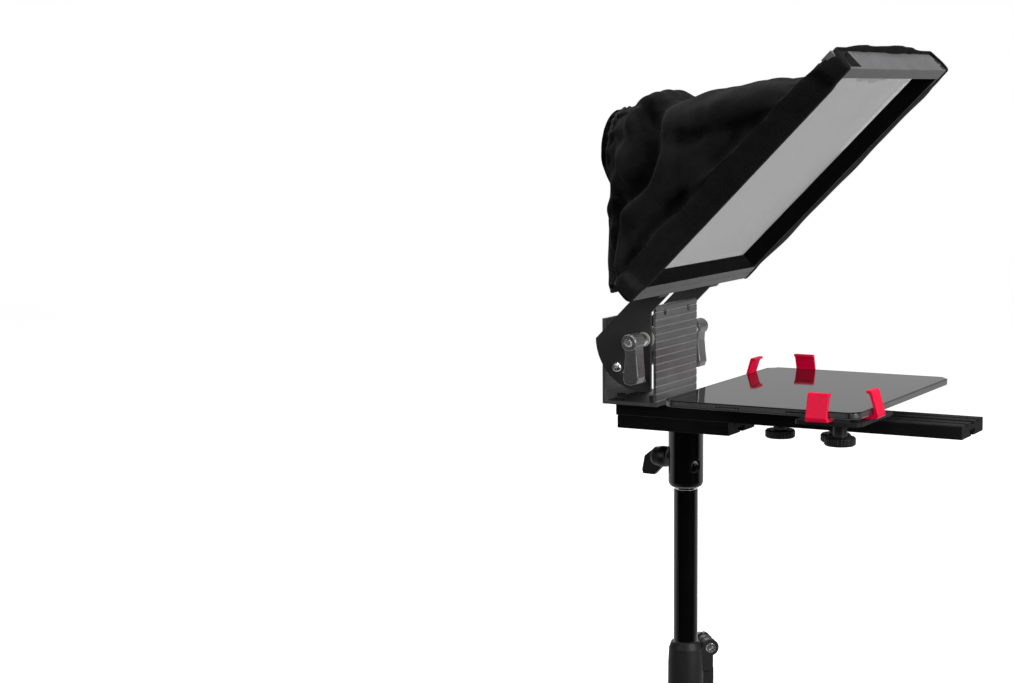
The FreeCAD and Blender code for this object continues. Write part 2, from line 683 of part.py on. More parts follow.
# tapering blade with a rounded foot, (local x, local y)
BLADE_OUTLINE = [
    (-6.0, -2.0), (-5.2, -12.0), (-6.2, -24.0), (-7.4, -33.0), (-5.6, -37.6), (0.0, -39.0),
    (5.8, -37.4), (8.2, -32.0), (7.4, -22.0), (6.6, -12.0), (6.4, -2.0)]


def lever(side, name):
    """Insert on the rod, retaining screw, and a hub with a hanging handle; local Z outward."""
    rot = Z_TO_Y if side > 0 else Z_TO_NEG_Y
    base = (dim.pivot_x, (wing_outer + WASHER_THICK + 0.1) * side, dim.pivot_z)
    turned_piece("lever_insert_" + name, [
        (4.06, 0), (5.6, 0), (5.6, 10.0), (4.9, 10.0), (4.9, 22.0), (1.6, 22.0), (1.6, 16.2),
        (4.06, 16.2)], base, rot)
    hub = turned("hub", [
        (4.95, 10.2), (7.0, 10.2), (7.5, 11.4), (7.5, 28.4), (6.6, 29.8), (4.0, 29.8),
        (4.0, 27.0), (2.3, 27.0), (2.3, 24.8), (4.95, 24.8)])
    blade = new_body("blade")
    blade_pad = pad(blade, outline(blade, "XY_Plane", BLADE_OUTLINE, BLADE_BOTTOM), BLADE_THICK)
    fillet(blade, blade_pad, edge_at_height(BLADE_BOTTOM + BLADE_THICK, BLADE_BOTTOM), 2.0)
    # on the +Y side local Y points down, so the blade is turned round to hang as well
    if side > 0:
        place(blade, rot=turn((0, 0, 1), 180))
    handle = fuse(hub, blade)
    # bores: (start height, radius, length)
    for start, radius, length in ((0, 4.95, 24.8), (27.0, 4.0, 10.0), (20.0, 2.3, 10.0)):
        handle = cut(handle, cylinder(0, 0, start, radius, length))
    piece(handle, "lever_handle_" + name, base, rot)
    turned_piece("lever_screw_" + name, [
        (0, 16.4), (1.6, 16.4), (1.6, 27.02), (3.6, 27.02), (3.6, 28.6), (2.6, 29.6),
        (0, 29.6)], base, rot)


lever(-1, "left")
lever(1, "right")

# ================================================================ mirror frame
# All sizes here are in mirror frame coordinates, from the glass opening's bottom front edge.
tall = dim.glass_tall
half_wide = dim.glass_wide / 2
side_outer = half_wide + dim.side_face
deep = dim.frame_deep
groove = dim.groove
groove_front = dim.glass_back - 0.1
groove_rear = dim.glass_back + dim.glass_thick + 0.1
rail_low = -dim.bottom_face
rail_high = tall + dim.top_face

CORNER_SEAT = 2.6                 # corner screw heads below the rails' outer faces
CORNER_Z = (4.5, 12.0)
corner_y = half_wide + dim.side_face / 2
corner_spots = [(corner_y * side, z) for side in (-1, 1) for z in CORNER_Z]
flange_spots = [(flange_hole_y * side, z) for side in (-1, 1) for z in FLANGE_HOLE_Z]

# bottom rail, with the glass groove and a crease on its front face
bottom_rail = new_body("bottom_rail")
pad(bottom_rail, outline(bottom_rail, "XZ_Plane", [
    (rail_low, 0.6), (rail_low + 0.6, 0), (-8.0, 0), (-7.4, 0.8), (-6.8, 0), (-0.4, 0),
    (0, 0.4), (0, groove_front), (-groove, groove_front), (-groove, groove_rear),
    (0, groove_rear), (0, deep), (rail_low, deep)]), side_outer * 2, mid=True)
for radius, spots, depth in ((2.0, flange_spots, 12.5), (1.5, corner_spots, 30.0),
                             (2.8, corner_spots, CORNER_SEAT + 1)):
    drill(bottom_rail, "YZ_Plane", rail_low - 1, radius, spots, depth, rev=True)
piece(bottom_rail, "bottom_rail", FRAME_BASE, FRAME_TURN)

# top rail: runs past both sides, with a recess near its -Y end for the glass lock screw
LOCK_Y, LOCK_Z, LOCK_RISE = -105.0, 11.0, 4.6
top_rail = new_body("top_rail")
pad(top_rail, outline(top_rail, "XZ_Plane", [
    (tall, 0.4), (tall + 0.4, 0), (rail_high - 0.6, 0), (rail_high, 0.6), (rail_high, deep),
    (tall, deep), (tall, groove_rear), (tall + groove, groove_rear),
    (tall + groove, groove_front), (tall, groove_front)]), dim.top_over * 2, mid=True)
pocket(top_rail, rectangle(new_sketch(top_rail, "XY_Plane", 2.6),
                           tall + LOCK_RISE, -118.0, rail_high + 5, -91.0), 30.0, rev=True)
for radius, spots, depth in ((1.5, corner_spots, 30.0), (2.8, corner_spots, CORNER_SEAT + 1),
                             (2.0, [(LOCK_Y, LOCK_Z)], 11.9)):
    drill(top_rail, "YZ_Plane", rail_high + 1, radius, spots, depth)
piece(top_rail, "top_rail", FRAME_BASE, FRAME_TURN)


def side_rail(label, side):
    """Rail between the top and bottom rails, grooved for the glass, drilled at both ends."""
    body = new_body(label)
    inner, outer, floor = half_wide * side, side_outer * side, (half_wide + groove) * side
    pad(body, outline(body, "YZ_Plane", [
        (inner, 0.4), (inner + 0.4 * side, 0), (outer - 0.8 * side, 0), (outer, 0.8),
        (outer, deep), (inner, deep), (inner, groove_rear), (floor, groove_rear),
        (floor, groove_front), (inner, groove_front)]), tall)
    spots = [(corner_y * side, z) for z in CORNER_Z]
    drill(body, "YZ_Plane", 0, 1.5, spots, 14.0, rev=True)
    drill(body, "YZ_Plane", tall, 1.5, spots, 14.0)
    piece(body, label, FRAME_BASE, FRAME_TURN)


side_rail("side_rail_left", -1)
side_rail("side_rail_right", 1)

frame_screws = []
for y, z in corner_spots:
    frame_screws.append(cap_screw((rail_high - CORNER_SEAT, y, z), Z_TO_X, shank=(1.5, 20.0),
                                  head=(2.7, 1.8), hex_radius=1.2))
    frame_screws.append(cap_screw((rail_low + CORNER_SEAT, y, z), Z_TO_NEG_X,
                                  shank=(1.5, 24.0), head=(2.7, 1.8), hex_radius=1.2))
for y, z in flange_spots:
    frame_screws.append(cap_screw((rail_low - dim.wing_thick, y, z), Z_TO_NEG_X,
                                  shank=(2.0, 14.0), head=(3.5, 2.6), hex_radius=1.6))
piece(group(*frame_screws), "frame_screws", FRAME_BASE, FRAME_TURN)

# glass, 0.2 short of the grooves' floors all round
glass_edge = groove - 0.2
glass = new_body("beam_splitter_glass")
pad(glass, rectangle(new_sketch(glass, "XY_Plane", dim.glass_back),
                     -glass_edge, -half_wide - glass_edge,
                     tall + glass_edge, half_wide + glass_edge), dim.glass_thick)
piece(glass, "beam_splitter_glass", FRAME_BASE, FRAME_TURN)

lock_screw = cap_screw((tall + LOCK_RISE, LOCK_Y, LOCK_Z), Z_TO_X, shank=(2.0, 4.4),
                       head=(4.2, 2.6), hex_radius=2.0)
piece(group(lock_screw), "glass_lock_screw", FRAME_BASE, FRAME_TURN)

# flocked liners on the inner faces of the side rails and the bottom rail
LINER_THICK, LINER_DEEP = 0.8, 15.4
piece(group(
    box(1.0, half_wide - LINER_THICK, 0.6, tall - 2.0, LINER_THICK, LINER_DEEP),
    box(1.0, -half_wide, 0.6, tall - 2.0, LINER_THICK, LINER_DEEP),
    box(0.0, -half_wide + 1.0, 0.6, LINER_THICK, half_wide * 2 - 2.0, LINER_DEEP)),
    "flock_liners", FRAME_BASE, FRAME_TURN)

# hook tape on the rear faces of the rails, which the hood grips
piece(group(
    box(4.0, -side_outer + 0.4, deep, tall - 8.0, 5.0, 1.0),
    box(4.0, side_outer - 5.4, deep, tall - 8.0, 5.0, 1.0),
    box(-14.5, -half_wide, deep, 12.0, half_wide * 2, 1.0),
    box(tall + 1.0, -half_wide, deep, 9.0, half_wide * 2, 1.0)),
    "hook_tape", FRAME_BASE, FRAME_TURN)


# ================================================================ hood
def from_frame(slope, y, normal):
    """Takes a point in mirror frame coordinates to the main frame."""
    return Vector(sheet.frame_x + (slope - normal) * TILT, y,
                  sheet.frame_z + (slope + normal) * TILT)


# Sections from the frame's rear plane to the sleeve's mouth: centre, the direction of the
# section's height as (x, z), half height, half width, and the superellipse exponent
# (2 is an ellipse, higher is squarer).
HOOD_SECTIONS = [
    (from_frame((sheet.glass_tall + sheet.top_face - 14.5) / 2, 0, 22.2), (TILT, TILT),
     138.6, 129.0, 9.0),
    (Vector(61.5, 0, 582.5), (0.719, 0.695), 123.0, 128.0, 5.0),
    (Vector(18.0, 0, 588.0), (0.5646, 0.8254), 92.1, 118.0, 3.6),
    (Vector(-21.0, 0, 595.0), (0.435, 0.9004), 66.6, 90.0, 2.8),
    (Vector(-38.5, 0, 606.0), (0.249, 0.9685), 57.0, 63.0, 2.1),
    (Vector(-54.0, 0, sheet.sleeve_z), (0.0, 1.0), sheet.sleeve_r + 2.0,
     sheet.sleeve_r + 2.0, 2.0),
    (Vector(sheet.sleeve_x, 0, sheet.sleeve_z), (0.0, 1.0), sheet.sleeve_r,
     sheet.sleeve_r, 2.0),
]
HOOD_POINTS = 40                  # points round each section


def hood_ring(section, grow):
    """Points round one section, moved outward by 'grow'."""
    centre, up, half_height, half_width, exponent = section
    points = []
    for i in range(HOOD_POINTS):
        angle = 2 * math.pi * (i + 0.5) / HOOD_POINTS
        cosine, sine = math.cos(angle), math.sin(angle)
        scale = (abs(cosine) ** exponent + abs(sine) ** exponent) ** (-1.0 / exponent)
        y = (half_width + grow) * scale * cosine
        rise = (half_height + grow) * scale * sine
        points.append(Vector(centre.x + up[0] * rise, y, centre.z + up[1] * rise))
    return points


def hood_loft(grow, extend):
    """Ruled solid through the sections; 'extend' runs it out past both open ends."""
    rings = [hood_ring(section, grow) for section in HOOD_SECTIONS]
    if extend:
        rings[0] = [p + Vector(TILT, 0, -TILT) for p in rings[0]]
        rings[-1] = [p + Vector(-2, 0, 0) for p in rings[-1]]
    return Part.makeLoft([Part.makePolygon(r + [r[0]]) for r in rings], True, True)


hood_shape = hood_loft(0.0, False).cut(hood_loft(-sheet.hood_skin, True))
if not hood_shape.isValid() or len(hood_shape.Solids) != 1:
    raise RuntimeError("hood is not one valid solid: %d" % len(hood_shape.Solids))
hood = doc.addObject("Part::Feature", "hood_loft")
hood.Shape = hood_shape.Solids[0]

# fabric flaps of the hood that lie over the outer faces of the side rails
flaps = group(box(-4.0, side_outer + 0.3, 1.5, tall + 2.0, 1.3, 20.3),
              box(-4.0, -side_outer - 1.6, 1.5, tall + 2.0, 1.3, 20.3))
place(flaps, FRAME_BASE, FRAME_TURN)
piece(group(hood, flaps), "hood_shell")

# drawcord round the sleeve and its lock
cord_x = dim.sleeve_x + 7
cord = doc.addObject("Part::Torus", "Cord")
bind(cord, "Radius1", dim.sleeve_r + 2.6)
cord.Radius2 = 1.3
place(cord, (cord_x, 0, dim.sleeve_z), Z_TO_X)
piece(group(cord), "hood_drawcord")
turned_piece("cord_lock", [
    (0, -8.5), (3.4, -8.5), (4.4, -7.5), (4.4, 4.0), (3.6, 5.0), (2.6, 5.0), (2.6, 8.5),
    (0, 8.5)], (cord_x, dim.sleeve_r + 12.9, dim.sleeve_z), Z_TO_Y)

# ================================================================ cradle
SADDLE_SHIFT = 2.85               # saddle's centre behind the tablet's
BAR_SCREWS = [(-11.0, 8.0), (11.0, -8.0), (11.0, 8.0), (-11.0, -8.0)]
saddle_x = dim.tablet_x - SADDLE_SHIFT

# saddle: plate on the rail, with a key down into the rail's slot
saddle = new_body("cradle_saddle")
pad(saddle, rectangle(new_sketch(saddle, "XY_Plane"), -43.0, -27.0, 43.0, 27.0),
    dim.bar_bottom - dim.rail_top)
pad(saddle, rectangle(new_sketch(saddle, "XY_Plane"), -16.0, -3.3, 16.0, 3.3), 2.2, rev=True)
holes = new_sketch(saddle, "XY_Plane")
for side in (-1, 1):
    circle(holes, dim.saddle_knob_gap * (side * 0.5), 0, 3.0)
for x, y in BAR_SCREWS:
    circle(holes, SADDLE_SHIFT + x, y, 1.5)
pocket(saddle, holes)
piece(saddle, "cradle_saddle", (saddle_x, 0, dim.rail_top))

# bar across the saddle, turned about Z; its screw holes are turned back to meet the saddle's
bar_angle = math.radians(sheet.cradle_turn)
BAR_COS, BAR_SIN = math.cos(bar_angle), math.sin(bar_angle)
bar_spots = [(x * BAR_COS + y * BAR_SIN, y * BAR_COS - x * BAR_SIN) for x, y in BAR_SCREWS]
bar = new_body("cradle_bar")
bar_pad = pad(bar, rectangle(new_sketch(bar, "XY_Plane"), -dim.bar_len / 2, -dim.bar_wide / 2,
                             dim.bar_len / 2, dim.bar_wide / 2), dim.bar_thick)
fillet(bar, bar_pad, edge_at_height(sheet.bar_thick / 2), 6.0)
holes = new_sketch(bar, "XY_Plane")
for side in (-1, 1):
    circle(holes, dim.knob_reach * side, 0, 3.0)
for x, y in bar_spots:
    circle(holes, x, y, 1.5)
pocket(bar, holes)
drill(bar, "XY_Plane", dim.bar_thick, 2.95, bar_spots, 1.65)
piece(bar, "cradle_bar", (dim.tablet_x, 0, dim.bar_bottom), turn((0, 0, 1), sheet.cradle_turn))

piece(group(*[place(turned("csk", [(0, -4.0), (1.5, -4.0), (1.5, 1.4), (2.9, 2.9), (0, 2.9)]),
                    (dim.tablet_x + x, y, dim.bar_bottom)) for x, y in BAR_SCREWS]),
      "bar_screws")

# ---------------------------------------------------------------- corner arms and clips
# The front arm, clips and pads are at the +X -Y corner; the rear ones are the same about the
# tablet's centre, turned half a turn.
CORNERS = (("front", 1), ("rear", -1))
half_short = dim.tablet_short / 2
half_long = dim.tablet_long / 2
arm_bottom = dim.bar_bottom + dim.bar_thick
arm_top = arm_bottom + dim.arm_thick
CLIP_HOLE = 8.5                   # clip's screw hole inward of the tablet's edge
CLIP_X = 53.65                    # clip on the short edge, from the tablet's centre
CLIP_Y = -80.0                    # clip on the long edge, from the tablet's centre
# (x, y) of the front arm about the tablet's centre
ARM_OUTLINE = [
    (89.0, -38.0), (89.0, -112.0), (86.2, -118.6), (79.6, -121.4), (34.0, -121.4),
    (32.0, -119.4), (32.0, -98.0), (35.0, -72.0), (23.1, -52.4), (42.5, -38.4),
    (58.0, -50.0), (74.0, -38.0)]
ARM_WINDOW = [(80.0, -58.0), (80.0, -70.0), (72.0, -58.0)]
# slot along the bar for the clamp bolt: (distance along the bar, side of it)
ARM_SLOT = [(62.9, -1), (100.2, -1), (100.2, 1), (62.9, 1)]
ARM_SLOT_HALF = 3.1
PAD_SPOTS = [(79.0, -104.0), (42.0, -92.0), (82.0, -50.0)]


def scaled(points, sign):
    return [(x * sign, y * sign) for x, y in points]


def corner_arm(label, sign):
    """Corner plate under the tablet that slides out along the bar."""
    body = new_body(label)
    pad(body, outline(body, "XY_Plane", scaled(ARM_OUTLINE, sign)), dim.arm_thick)
    slot = [(along * BAR_COS - side * ARM_SLOT_HALF * BAR_SIN,
             along * BAR_SIN + side * ARM_SLOT_HALF * BAR_COS) for along, side in ARM_SLOT]
    sketch = outline(body, "XY_Plane", scaled(slot, sign))
    polygon(sketch, scaled(ARM_WINDOW, sign))
    clip_holes = [(CLIP_X, CLIP_HOLE - half_long), (half_short - CLIP_HOLE, CLIP_Y)]
    for x, y in scaled(clip_holes, sign):
        circle(sketch, x, y, 1.5)
    pocket(body, sketch)
    piece(body, label, (dim.tablet_x, 0, arm_bottom))


def clip(x, y, degrees):
    """Bent clip: foot on the arm, wall leaning in over the edge. Local X is outward."""
    body = new_body("clip")
    thick = dim.clip_thick
    clip_pad = pad(body, outline(body, "XZ_Plane", [
        (-12.5, 0), (3.4, 0), (4.8, 1.2), (4.9, 3.6), (-0.4, 21.9), (-1.6, 23.7),
        (-5.6, 23.9), (-5.8, 21.7), (-3.6, 21.1), (-2.8, 19.9), (0.3, 10.4), (0.9, 5.2),
        (0.6, thick), (-12.5, thick)]), dim.clip_wide, mid=True)

    def outer_wall_edge(edge):
        centre = edge.CenterOfMass
        return (abs(abs(centre.y) - sheet.clip_wide / 2) < 0.01 and centre.z > 4.0
                and centre.x > 1.5 and edge.Length > 12)

    fillet(body, clip_pad, outer_wall_edge, 0.8)
    drill(body, "XY_Plane", 0, 1.5, [(-CLIP_HOLE, 0)])
    drill(body, "XY_Plane", thick, 2.9, [(-CLIP_HOLE, 0)], 1.4)
    return place(body, (x, y, arm_top), turn((0, 0, 1), degrees))


def clip_screw(x, y, degrees):
    body = turned("clip_screw", [
        (0, -3.5), (1.5, -3.5), (1.5, 1.6), (2.8, 1.6), (2.8, 2.9), (0, 2.9)])
    angle = math.radians(degrees)
    return place(body, (x - CLIP_HOLE * math.cos(angle), y - CLIP_HOLE * math.sin(angle),
                        arm_top))


for name, sign in CORNERS:
    corner_arm("corner_arm_" + name, sign)
    # (x, y, outward direction in degrees): short-edge clip, then long-edge clip
    clip_spots = [
        (dim.tablet_x + CLIP_X * sign, half_long * -sign, -90.0 * sign),
        (dim.tablet_x + half_short * sign, CLIP_Y * sign, 0.0 if sign > 0 else 180.0)]
    piece(group(*[clip(*spot) for spot in clip_spots]), "clips_" + name)
    piece(group(*[clip_screw(*spot) for spot in clip_spots]), "clip_screws_" + name)
    piece(group(*[cylinder(dim.tablet_x + x, y, arm_top, 4.0, dim.tablet_bottom - arm_top)
                  for x, y in scaled(PAD_SPOTS, sign)]), "arm_pads_" + name)


# ---------------------------------------------------------------- cradle knobs and bolts
def cradle_knob(label, x, y, underside, boss_height):
    """Knob whose boss ends 0.1 below the given underside."""
    body = fluted_knob(label, dim.knob_dia, dim.knob_tall, boss_radius=6.0,
                       boss_height=boss_height, flutes=24, flute_radius=1.1, sink=0.5)
    piece(body, label, (x, y, underside - dim.knob_tall - boss_height - 0.1))


bolts = []
# saddle bolts run down from the saddle through the rail's slot
for name, side in (("a", -1), ("b", 1)):
    x = saddle_x + dim.saddle_knob_gap / 2 * side
    cradle_knob("saddle_knob_" + name, x, 0, dim.rail_bottom, 7.0)
    bolt = turned("bolt", [
        (0, -14.4), (3.0, -14.4), (3.0, 11.0), (2.95, 11.0), (2.95, 15.9), (0, 15.9)])
    bolts.append(place(bolt, (x, 0, dim.rail_bottom)))
# arm bolts run down through the arms' slots and the bar
for name, sign in CORNERS:
    x = dim.tablet_x + dim.knob_reach * (BAR_COS * sign)
    y = dim.knob_reach * (BAR_SIN * sign)
    cradle_knob("arm_knob_" + name, x, y, dim.bar_bottom, 12.2)
    bolt = turned("bolt", [
        (0, -19.6), (3.0, -19.6), (3.0, 6.55), (6.2, 6.55), (6.2, 8.2), (5.0, 9.2), (0, 9.2)])
    bolts.append(place(bolt, (x, y, dim.bar_bottom)))
piece(group(*bolts), "cradle_bolts")

# ================================================================ tablet
thick = dim.tablet_thick


def inset_rectangle(body, offset, inset):
    """Rectangle as large as the tablet less 'inset' on each side."""
    x, y = half_short - inset, half_long - inset
    return rectangle(new_sketch(body, "XY_Plane", offset), -x, -y, x, y)


case = new_body("tablet_case")
case_pad = pad(case, inset_rectangle(case, 0, 0), thick)
corners = fillet(case, case_pad, edge_at_height(sheet.tablet_thick / 2), 12.0)
fillet(case, corners, lambda edge: edge.CenterOfMass.z < 0.01, 1.2)
# seat for the cover glass, then the cavity for the display
pocket(case, inset_rectangle(case, thick, 1.3), 1.2)
pocket(case, inset_rectangle(case, thick, 8.0), 4.6)
# speaker holes: two rows in each short edge
for side in (-1, 1):
    for row_start in (-38.0, 26.0):
        hole = drill(case, "XZ_Plane", half_long * -side, 0.75, [(row_start, 2.9)], 2.4,
                     rev=(side > 0))
        linear_pattern(case, hole, "X_Axis", 20.0, 9)
# seats for the power key in the +Y edge and the volume keys in the -X edge
pocket(case, rectangle(new_sketch(case, "XZ_Plane", -half_long), -80.0, 1.6, -66.0, 4.2),
       1.6, rev=True)
key_seats = new_sketch(case, "YZ_Plane", -half_short)
for start in (44.0, 28.0):
    rectangle(key_seats, start, 1.6, start + 12.0, 4.2)
pocket(case, key_seats, 1.6, rev=True)
piece(case, "tablet_case", (dim.tablet_x, 0, dim.tablet_bottom))

COVER_THICK = 1.15
cover = new_body("tablet_glass")
cover_pad = pad(cover, inset_rectangle(cover, 0, 1.35), COVER_THICK)
fillet(cover, cover_pad, edge_at_height(COVER_THICK / 2), 10.7)
piece(cover, "tablet_glass", (dim.tablet_x, 0, dim.tablet_bottom + thick - 1.18))

# display stack inside the case
piece(box(dim.tablet_x - half_short + 9.0, -half_long + 9.0, dim.tablet_bottom + thick - 3.2,
          (half_short - 9.0) * 2, (half_long - 9.0) * 2, 1.9), "tablet_display")

# keys, each standing 0.6 out of the case
KEY_DEEP, KEY_TALL = 1.8, 2.2
key_z = dim.tablet_bottom + 1.8
piece(box(dim.tablet_x - 79.8, half_long - 1.2, key_z, 13.6, KEY_DEEP, KEY_TALL),
      "tablet_power_key")
piece(group(*[box(dim.tablet_x - half_short - 0.6, y, key_z, KEY_DEEP, 11.6, KEY_TALL)
              for y in (44.2, 28.2)]), "tablet_volume_keys")

# ================================================================ export
doc.recompute()
failed = ["%s (%s): %s" % (obj.Label, obj.Name, obj.State) for obj in doc.Objects
          if "Invalid" in obj.State or "Error" in obj.State]
if failed:
    raise RuntimeError("failed objects:\n" + "\n".join(failed))
for obj in doc.Objects:
    if obj.TypeId == "PartDesign::Pocket" and obj.BaseFeature is not None:
        if obj.Shape.Volume > obj.BaseFeature.Shape.Volume - 1e-3:
            raise RuntimeError("pocket cuts nothing: " + obj.Name)
labels = set()
for obj in PIECES:
    shape = obj.Shape
    if shape.isNull() or not shape.isValid() or not shape.Solids:
        raise RuntimeError("bad shape: " + obj.Label)
    if obj.Label in labels:
        raise RuntimeError("label used twice: " + obj.Label)
    labels.add(obj.Label)

os.makedirs("parts", exist_ok=True)
for name in os.listdir("parts"):
    if name.endswith(".step"):
        os.remove(os.path.join("parts", name))
for obj in PIECES:
    obj.Shape.exportStep("parts/%s.step" % obj.Label)
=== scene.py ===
"""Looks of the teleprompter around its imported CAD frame.

Metres, in the row frame: +X is the reading side, +Z is up. The beam splitter and its rails lean
at 45 degrees: "slope" runs up them (+X +Z) and "rise" stands off them towards the lens (-X +Z).
The cloth hood laps over the rails and narrows to a sleeve at its -X end.
"""

import math

import bpy
import numpy as np
from mathutils import Matrix, Vector


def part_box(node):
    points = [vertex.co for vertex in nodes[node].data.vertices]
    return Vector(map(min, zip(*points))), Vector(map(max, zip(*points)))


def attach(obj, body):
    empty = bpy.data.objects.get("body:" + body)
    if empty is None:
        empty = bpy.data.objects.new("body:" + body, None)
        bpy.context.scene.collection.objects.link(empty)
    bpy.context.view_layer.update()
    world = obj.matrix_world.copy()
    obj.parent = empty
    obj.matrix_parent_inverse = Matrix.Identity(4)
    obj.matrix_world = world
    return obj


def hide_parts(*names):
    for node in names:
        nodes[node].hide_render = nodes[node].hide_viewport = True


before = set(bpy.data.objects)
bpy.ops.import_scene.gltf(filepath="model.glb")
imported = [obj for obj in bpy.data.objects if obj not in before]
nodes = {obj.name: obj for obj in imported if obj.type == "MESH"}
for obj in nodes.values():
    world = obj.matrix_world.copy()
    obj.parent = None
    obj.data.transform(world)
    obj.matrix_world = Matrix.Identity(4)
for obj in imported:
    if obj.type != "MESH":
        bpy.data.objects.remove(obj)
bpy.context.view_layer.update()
scene = bpy.context.scene

MM = 0.001
DIAG = math.sqrt(0.5)  # sine and cosine of the mirror's 45 degree lean
MIRROR_X, MIRROR_Z = 16.1, 490.85  # mm, where slope and rise are zero
CAMERA_YAW = math.radians(29.386)
# level directions in the camera's view: away from it, and to its right
AWAY = Vector((-math.sin(CAMERA_YAW), math.cos(CAMERA_YAW), 0))
RIGHT = Vector((math.cos(CAMERA_YAW), math.sin(CAMERA_YAW), 0))


# ------------------------------------------------------------------ node trees
class Tree:
    """A short way to write a material's node tree."""

    def __init__(self, name, colour, rough, metallic=0.0, spec=0.5):
        self.mat = bpy.data.materials.new(name)
        self.mat.use_nodes = True
        self.mat.diffuse_color = (*colour, 1)
        self.graph = self.mat.node_tree
        self.graph.nodes.clear()
        self.out = self.node("OutputMaterial")
        self.bsdf = self.node("BsdfPrincipled")
        self.link(self.bsdf.outputs[0], self.out.inputs[0])
        self.set(self.bsdf, {"Base Color": (*colour, 1), "Roughness": rough,
                             "Metallic": metallic, "Specular IOR Level": spec})
        self.coord = self.node("TexCoord").outputs["Object"]

    def node(self, kind):
        return self.graph.nodes.new("ShaderNode" + kind)

    def link(self, source, target):
        self.graph.links.new(source, target)

    def set(self, node, values):
        for key, value in values.items():
            node.inputs[key].default_value = value

    def feed(self, value, target):
        """Give an input a number, a colour or another node's output."""
        if isinstance(value, (int, float)):
            target.default_value = value
        elif isinstance(value, tuple):
            target.default_value = (*value, 1)
        else:
            self.link(value, target)

    def drive(self, name, source):
        """Link an output to an input of the main shader."""
        self.link(source, self.bsdf.inputs[name])

    def colour_so_far(self):
        return self.bsdf.inputs["Base Color"].links[0].from_socket

    def math(self, operation, *values):
        node = self.node("Math")
        node.operation = operation
        for target, value in zip(node.inputs, values):
            self.feed(value, target)
        return node.outputs[0]

    def plus(self, a, b):
        return self.math("ADD", a, b)

    def minus(self, a, b):
        return self.math("SUBTRACT", a, b)

    def times(self, a, b):
        return self.math("MULTIPLY", a, b)

    def distance(self, a, b):
        return self.math("ABSOLUTE", self.minus(a, b))

    def wave(self, value, rate):
        return self.math("SINE", self.times(value, rate))

    def axes(self):
        node = self.node("SeparateXYZ")
        self.link(self.coord, node.inputs[0])
        return node.outputs

    def scaled(self, factors):
        node = self.node("VectorMath")
        node.operation = "MULTIPLY"
        self.link(self.coord, node.inputs[0])
        node.inputs[1].default_value = factors
        return node.outputs[0]

    def noise(self, scale, detail=3.0, rough=0.55, stretch=None):
        node = self.node("TexNoise")
        self.link(self.coord if stretch is None else self.scaled(stretch), node.inputs["Vector"])
        self.set(node, {"Scale": scale, "Detail": detail, "Roughness": rough})
        return node.outputs["Fac"]

    def remap(self, value, from_a, from_b, to_a=0.0, to_b=1.0):
        node = self.node("MapRange")
        self.link(value, node.inputs[0])
        for i, limit in enumerate((from_a, from_b, to_a, to_b)):
            node.inputs[i + 1].default_value = limit
        return node.outputs[0]

    def band(self, value, rise, fall):
        """1 between two limits: each is a (start, end) pair over which the mask rises or falls."""
        return self.times(self.remap(value, *rise), self.remap(value, *fall, 1.0, 0.0))

    def from_cell_centre(self, count, pitch):
        """Signed distance from the middle of the repeat that a running count lies in."""
        return self.times(self.minus(self.math("FRACT", count), 0.5), pitch)

    def mix(self, share, a, b):
        node = self.node("Mix")
        node.data_type = "RGBA"
        for value, i in ((share, 0), (a, 6), (b, 7)):
            self.feed(value, node.inputs[i])
        return node.outputs[2]

    def bevel(self, radius):
        node = self.node("Bevel")
        node.samples = 4
        node.inputs["Radius"].default_value = radius
        return node.outputs[0]

    def edge(self, rounded):
        """1 on a convex or concave edge that the rounding has softened, 0 on a flat face."""
        geometry = self.node("NewGeometry")
        dot = self.node("VectorMath")
        dot.operation = "DOT_PRODUCT"
        self.link(rounded, dot.inputs[0])
        self.link(geometry.outputs["Normal"], dot.inputs[1])
        return self.remap(dot.outputs["Value"], 0.995, 0.86)

    def bump(self, height, strength, distance, normal=None):
        node = self.node("Bump")
        self.set(node, {"Strength": strength, "Distance": distance})
        self.link(height, node.inputs["Height"])
        if normal is not None:
            self.link(normal, node.inputs["Normal"])
        return node.outputs[0]


def tint(colour, factor):
    return tuple(min(1.0, channel * factor) for channel in colour)


# ------------------------------------------------------------------ hard finishes
def solid_finish(name, colour, rough, metallic=0.0, spec=0.5, cloud=40.0, vary=0.25, grain=900.0,
                 stretch=None, bump=0.25, depth=0.00008, radius=0.0005, edge_wear_and_highlight=1.6):
    """Painted, anodised or moulded finish with rounded edges, lightened partly by rubbing and
    partly as a painted edge highlight.

    cloud, vary: scale and contrast of the clouded colour. grain, stretch, bump, depth: scale,
    per-axis stretch, strength and height of the fine grain. radius and the last argument: rounding
    of the edges, and how much they are lightened, partly rubbed bare and partly a painted edge
    highlight.
    """
    tree = Tree(name, colour, rough, metallic, spec)
    clouds = tree.noise(cloud, 4.0, 0.6)
    grains = tree.noise(grain, 2.0, 0.5, stretch)
    base = tree.mix(tree.remap(clouds, 0.3, 0.7), tint(colour, 1 - vary), tint(colour, 1 + vary))
    # up to 35 % of a darker tone in the grain
    base = tree.mix(tree.remap(grains, 0.35, 0.65, 0.0, 0.35), base, tint(colour, 0.6))
    rounded = tree.bevel(radius)
    edge = tree.edge(rounded)
    # uneven rubbing breaks up the lightened edges, rubbed bare and painted highlight alike
    rubbed = tree.remap(tree.noise(260.0, 3.0, 0.7), 0.42, 0.62, 0.25, 1.0)
    worn_and_highlit_edges = tree.times(tree.times(edge, rubbed), 0.8)
    # lighter edges: partly rubbed bare, partly a painted edge highlight
    tree.drive("Base Color", tree.mix(worn_and_highlit_edges, base, tint(colour, 1 + edge_wear_and_highlight)))
    both = tree.plus(clouds, grains)
    uneven = tree.remap(both, 0.6, 1.4, rough * 0.85, min(1.0, rough * 1.18))
    tree.drive("Roughness", tree.plus(uneven, 0.0))
    tree.drive("Normal", tree.bump(grains, bump, depth, rounded))
    return tree


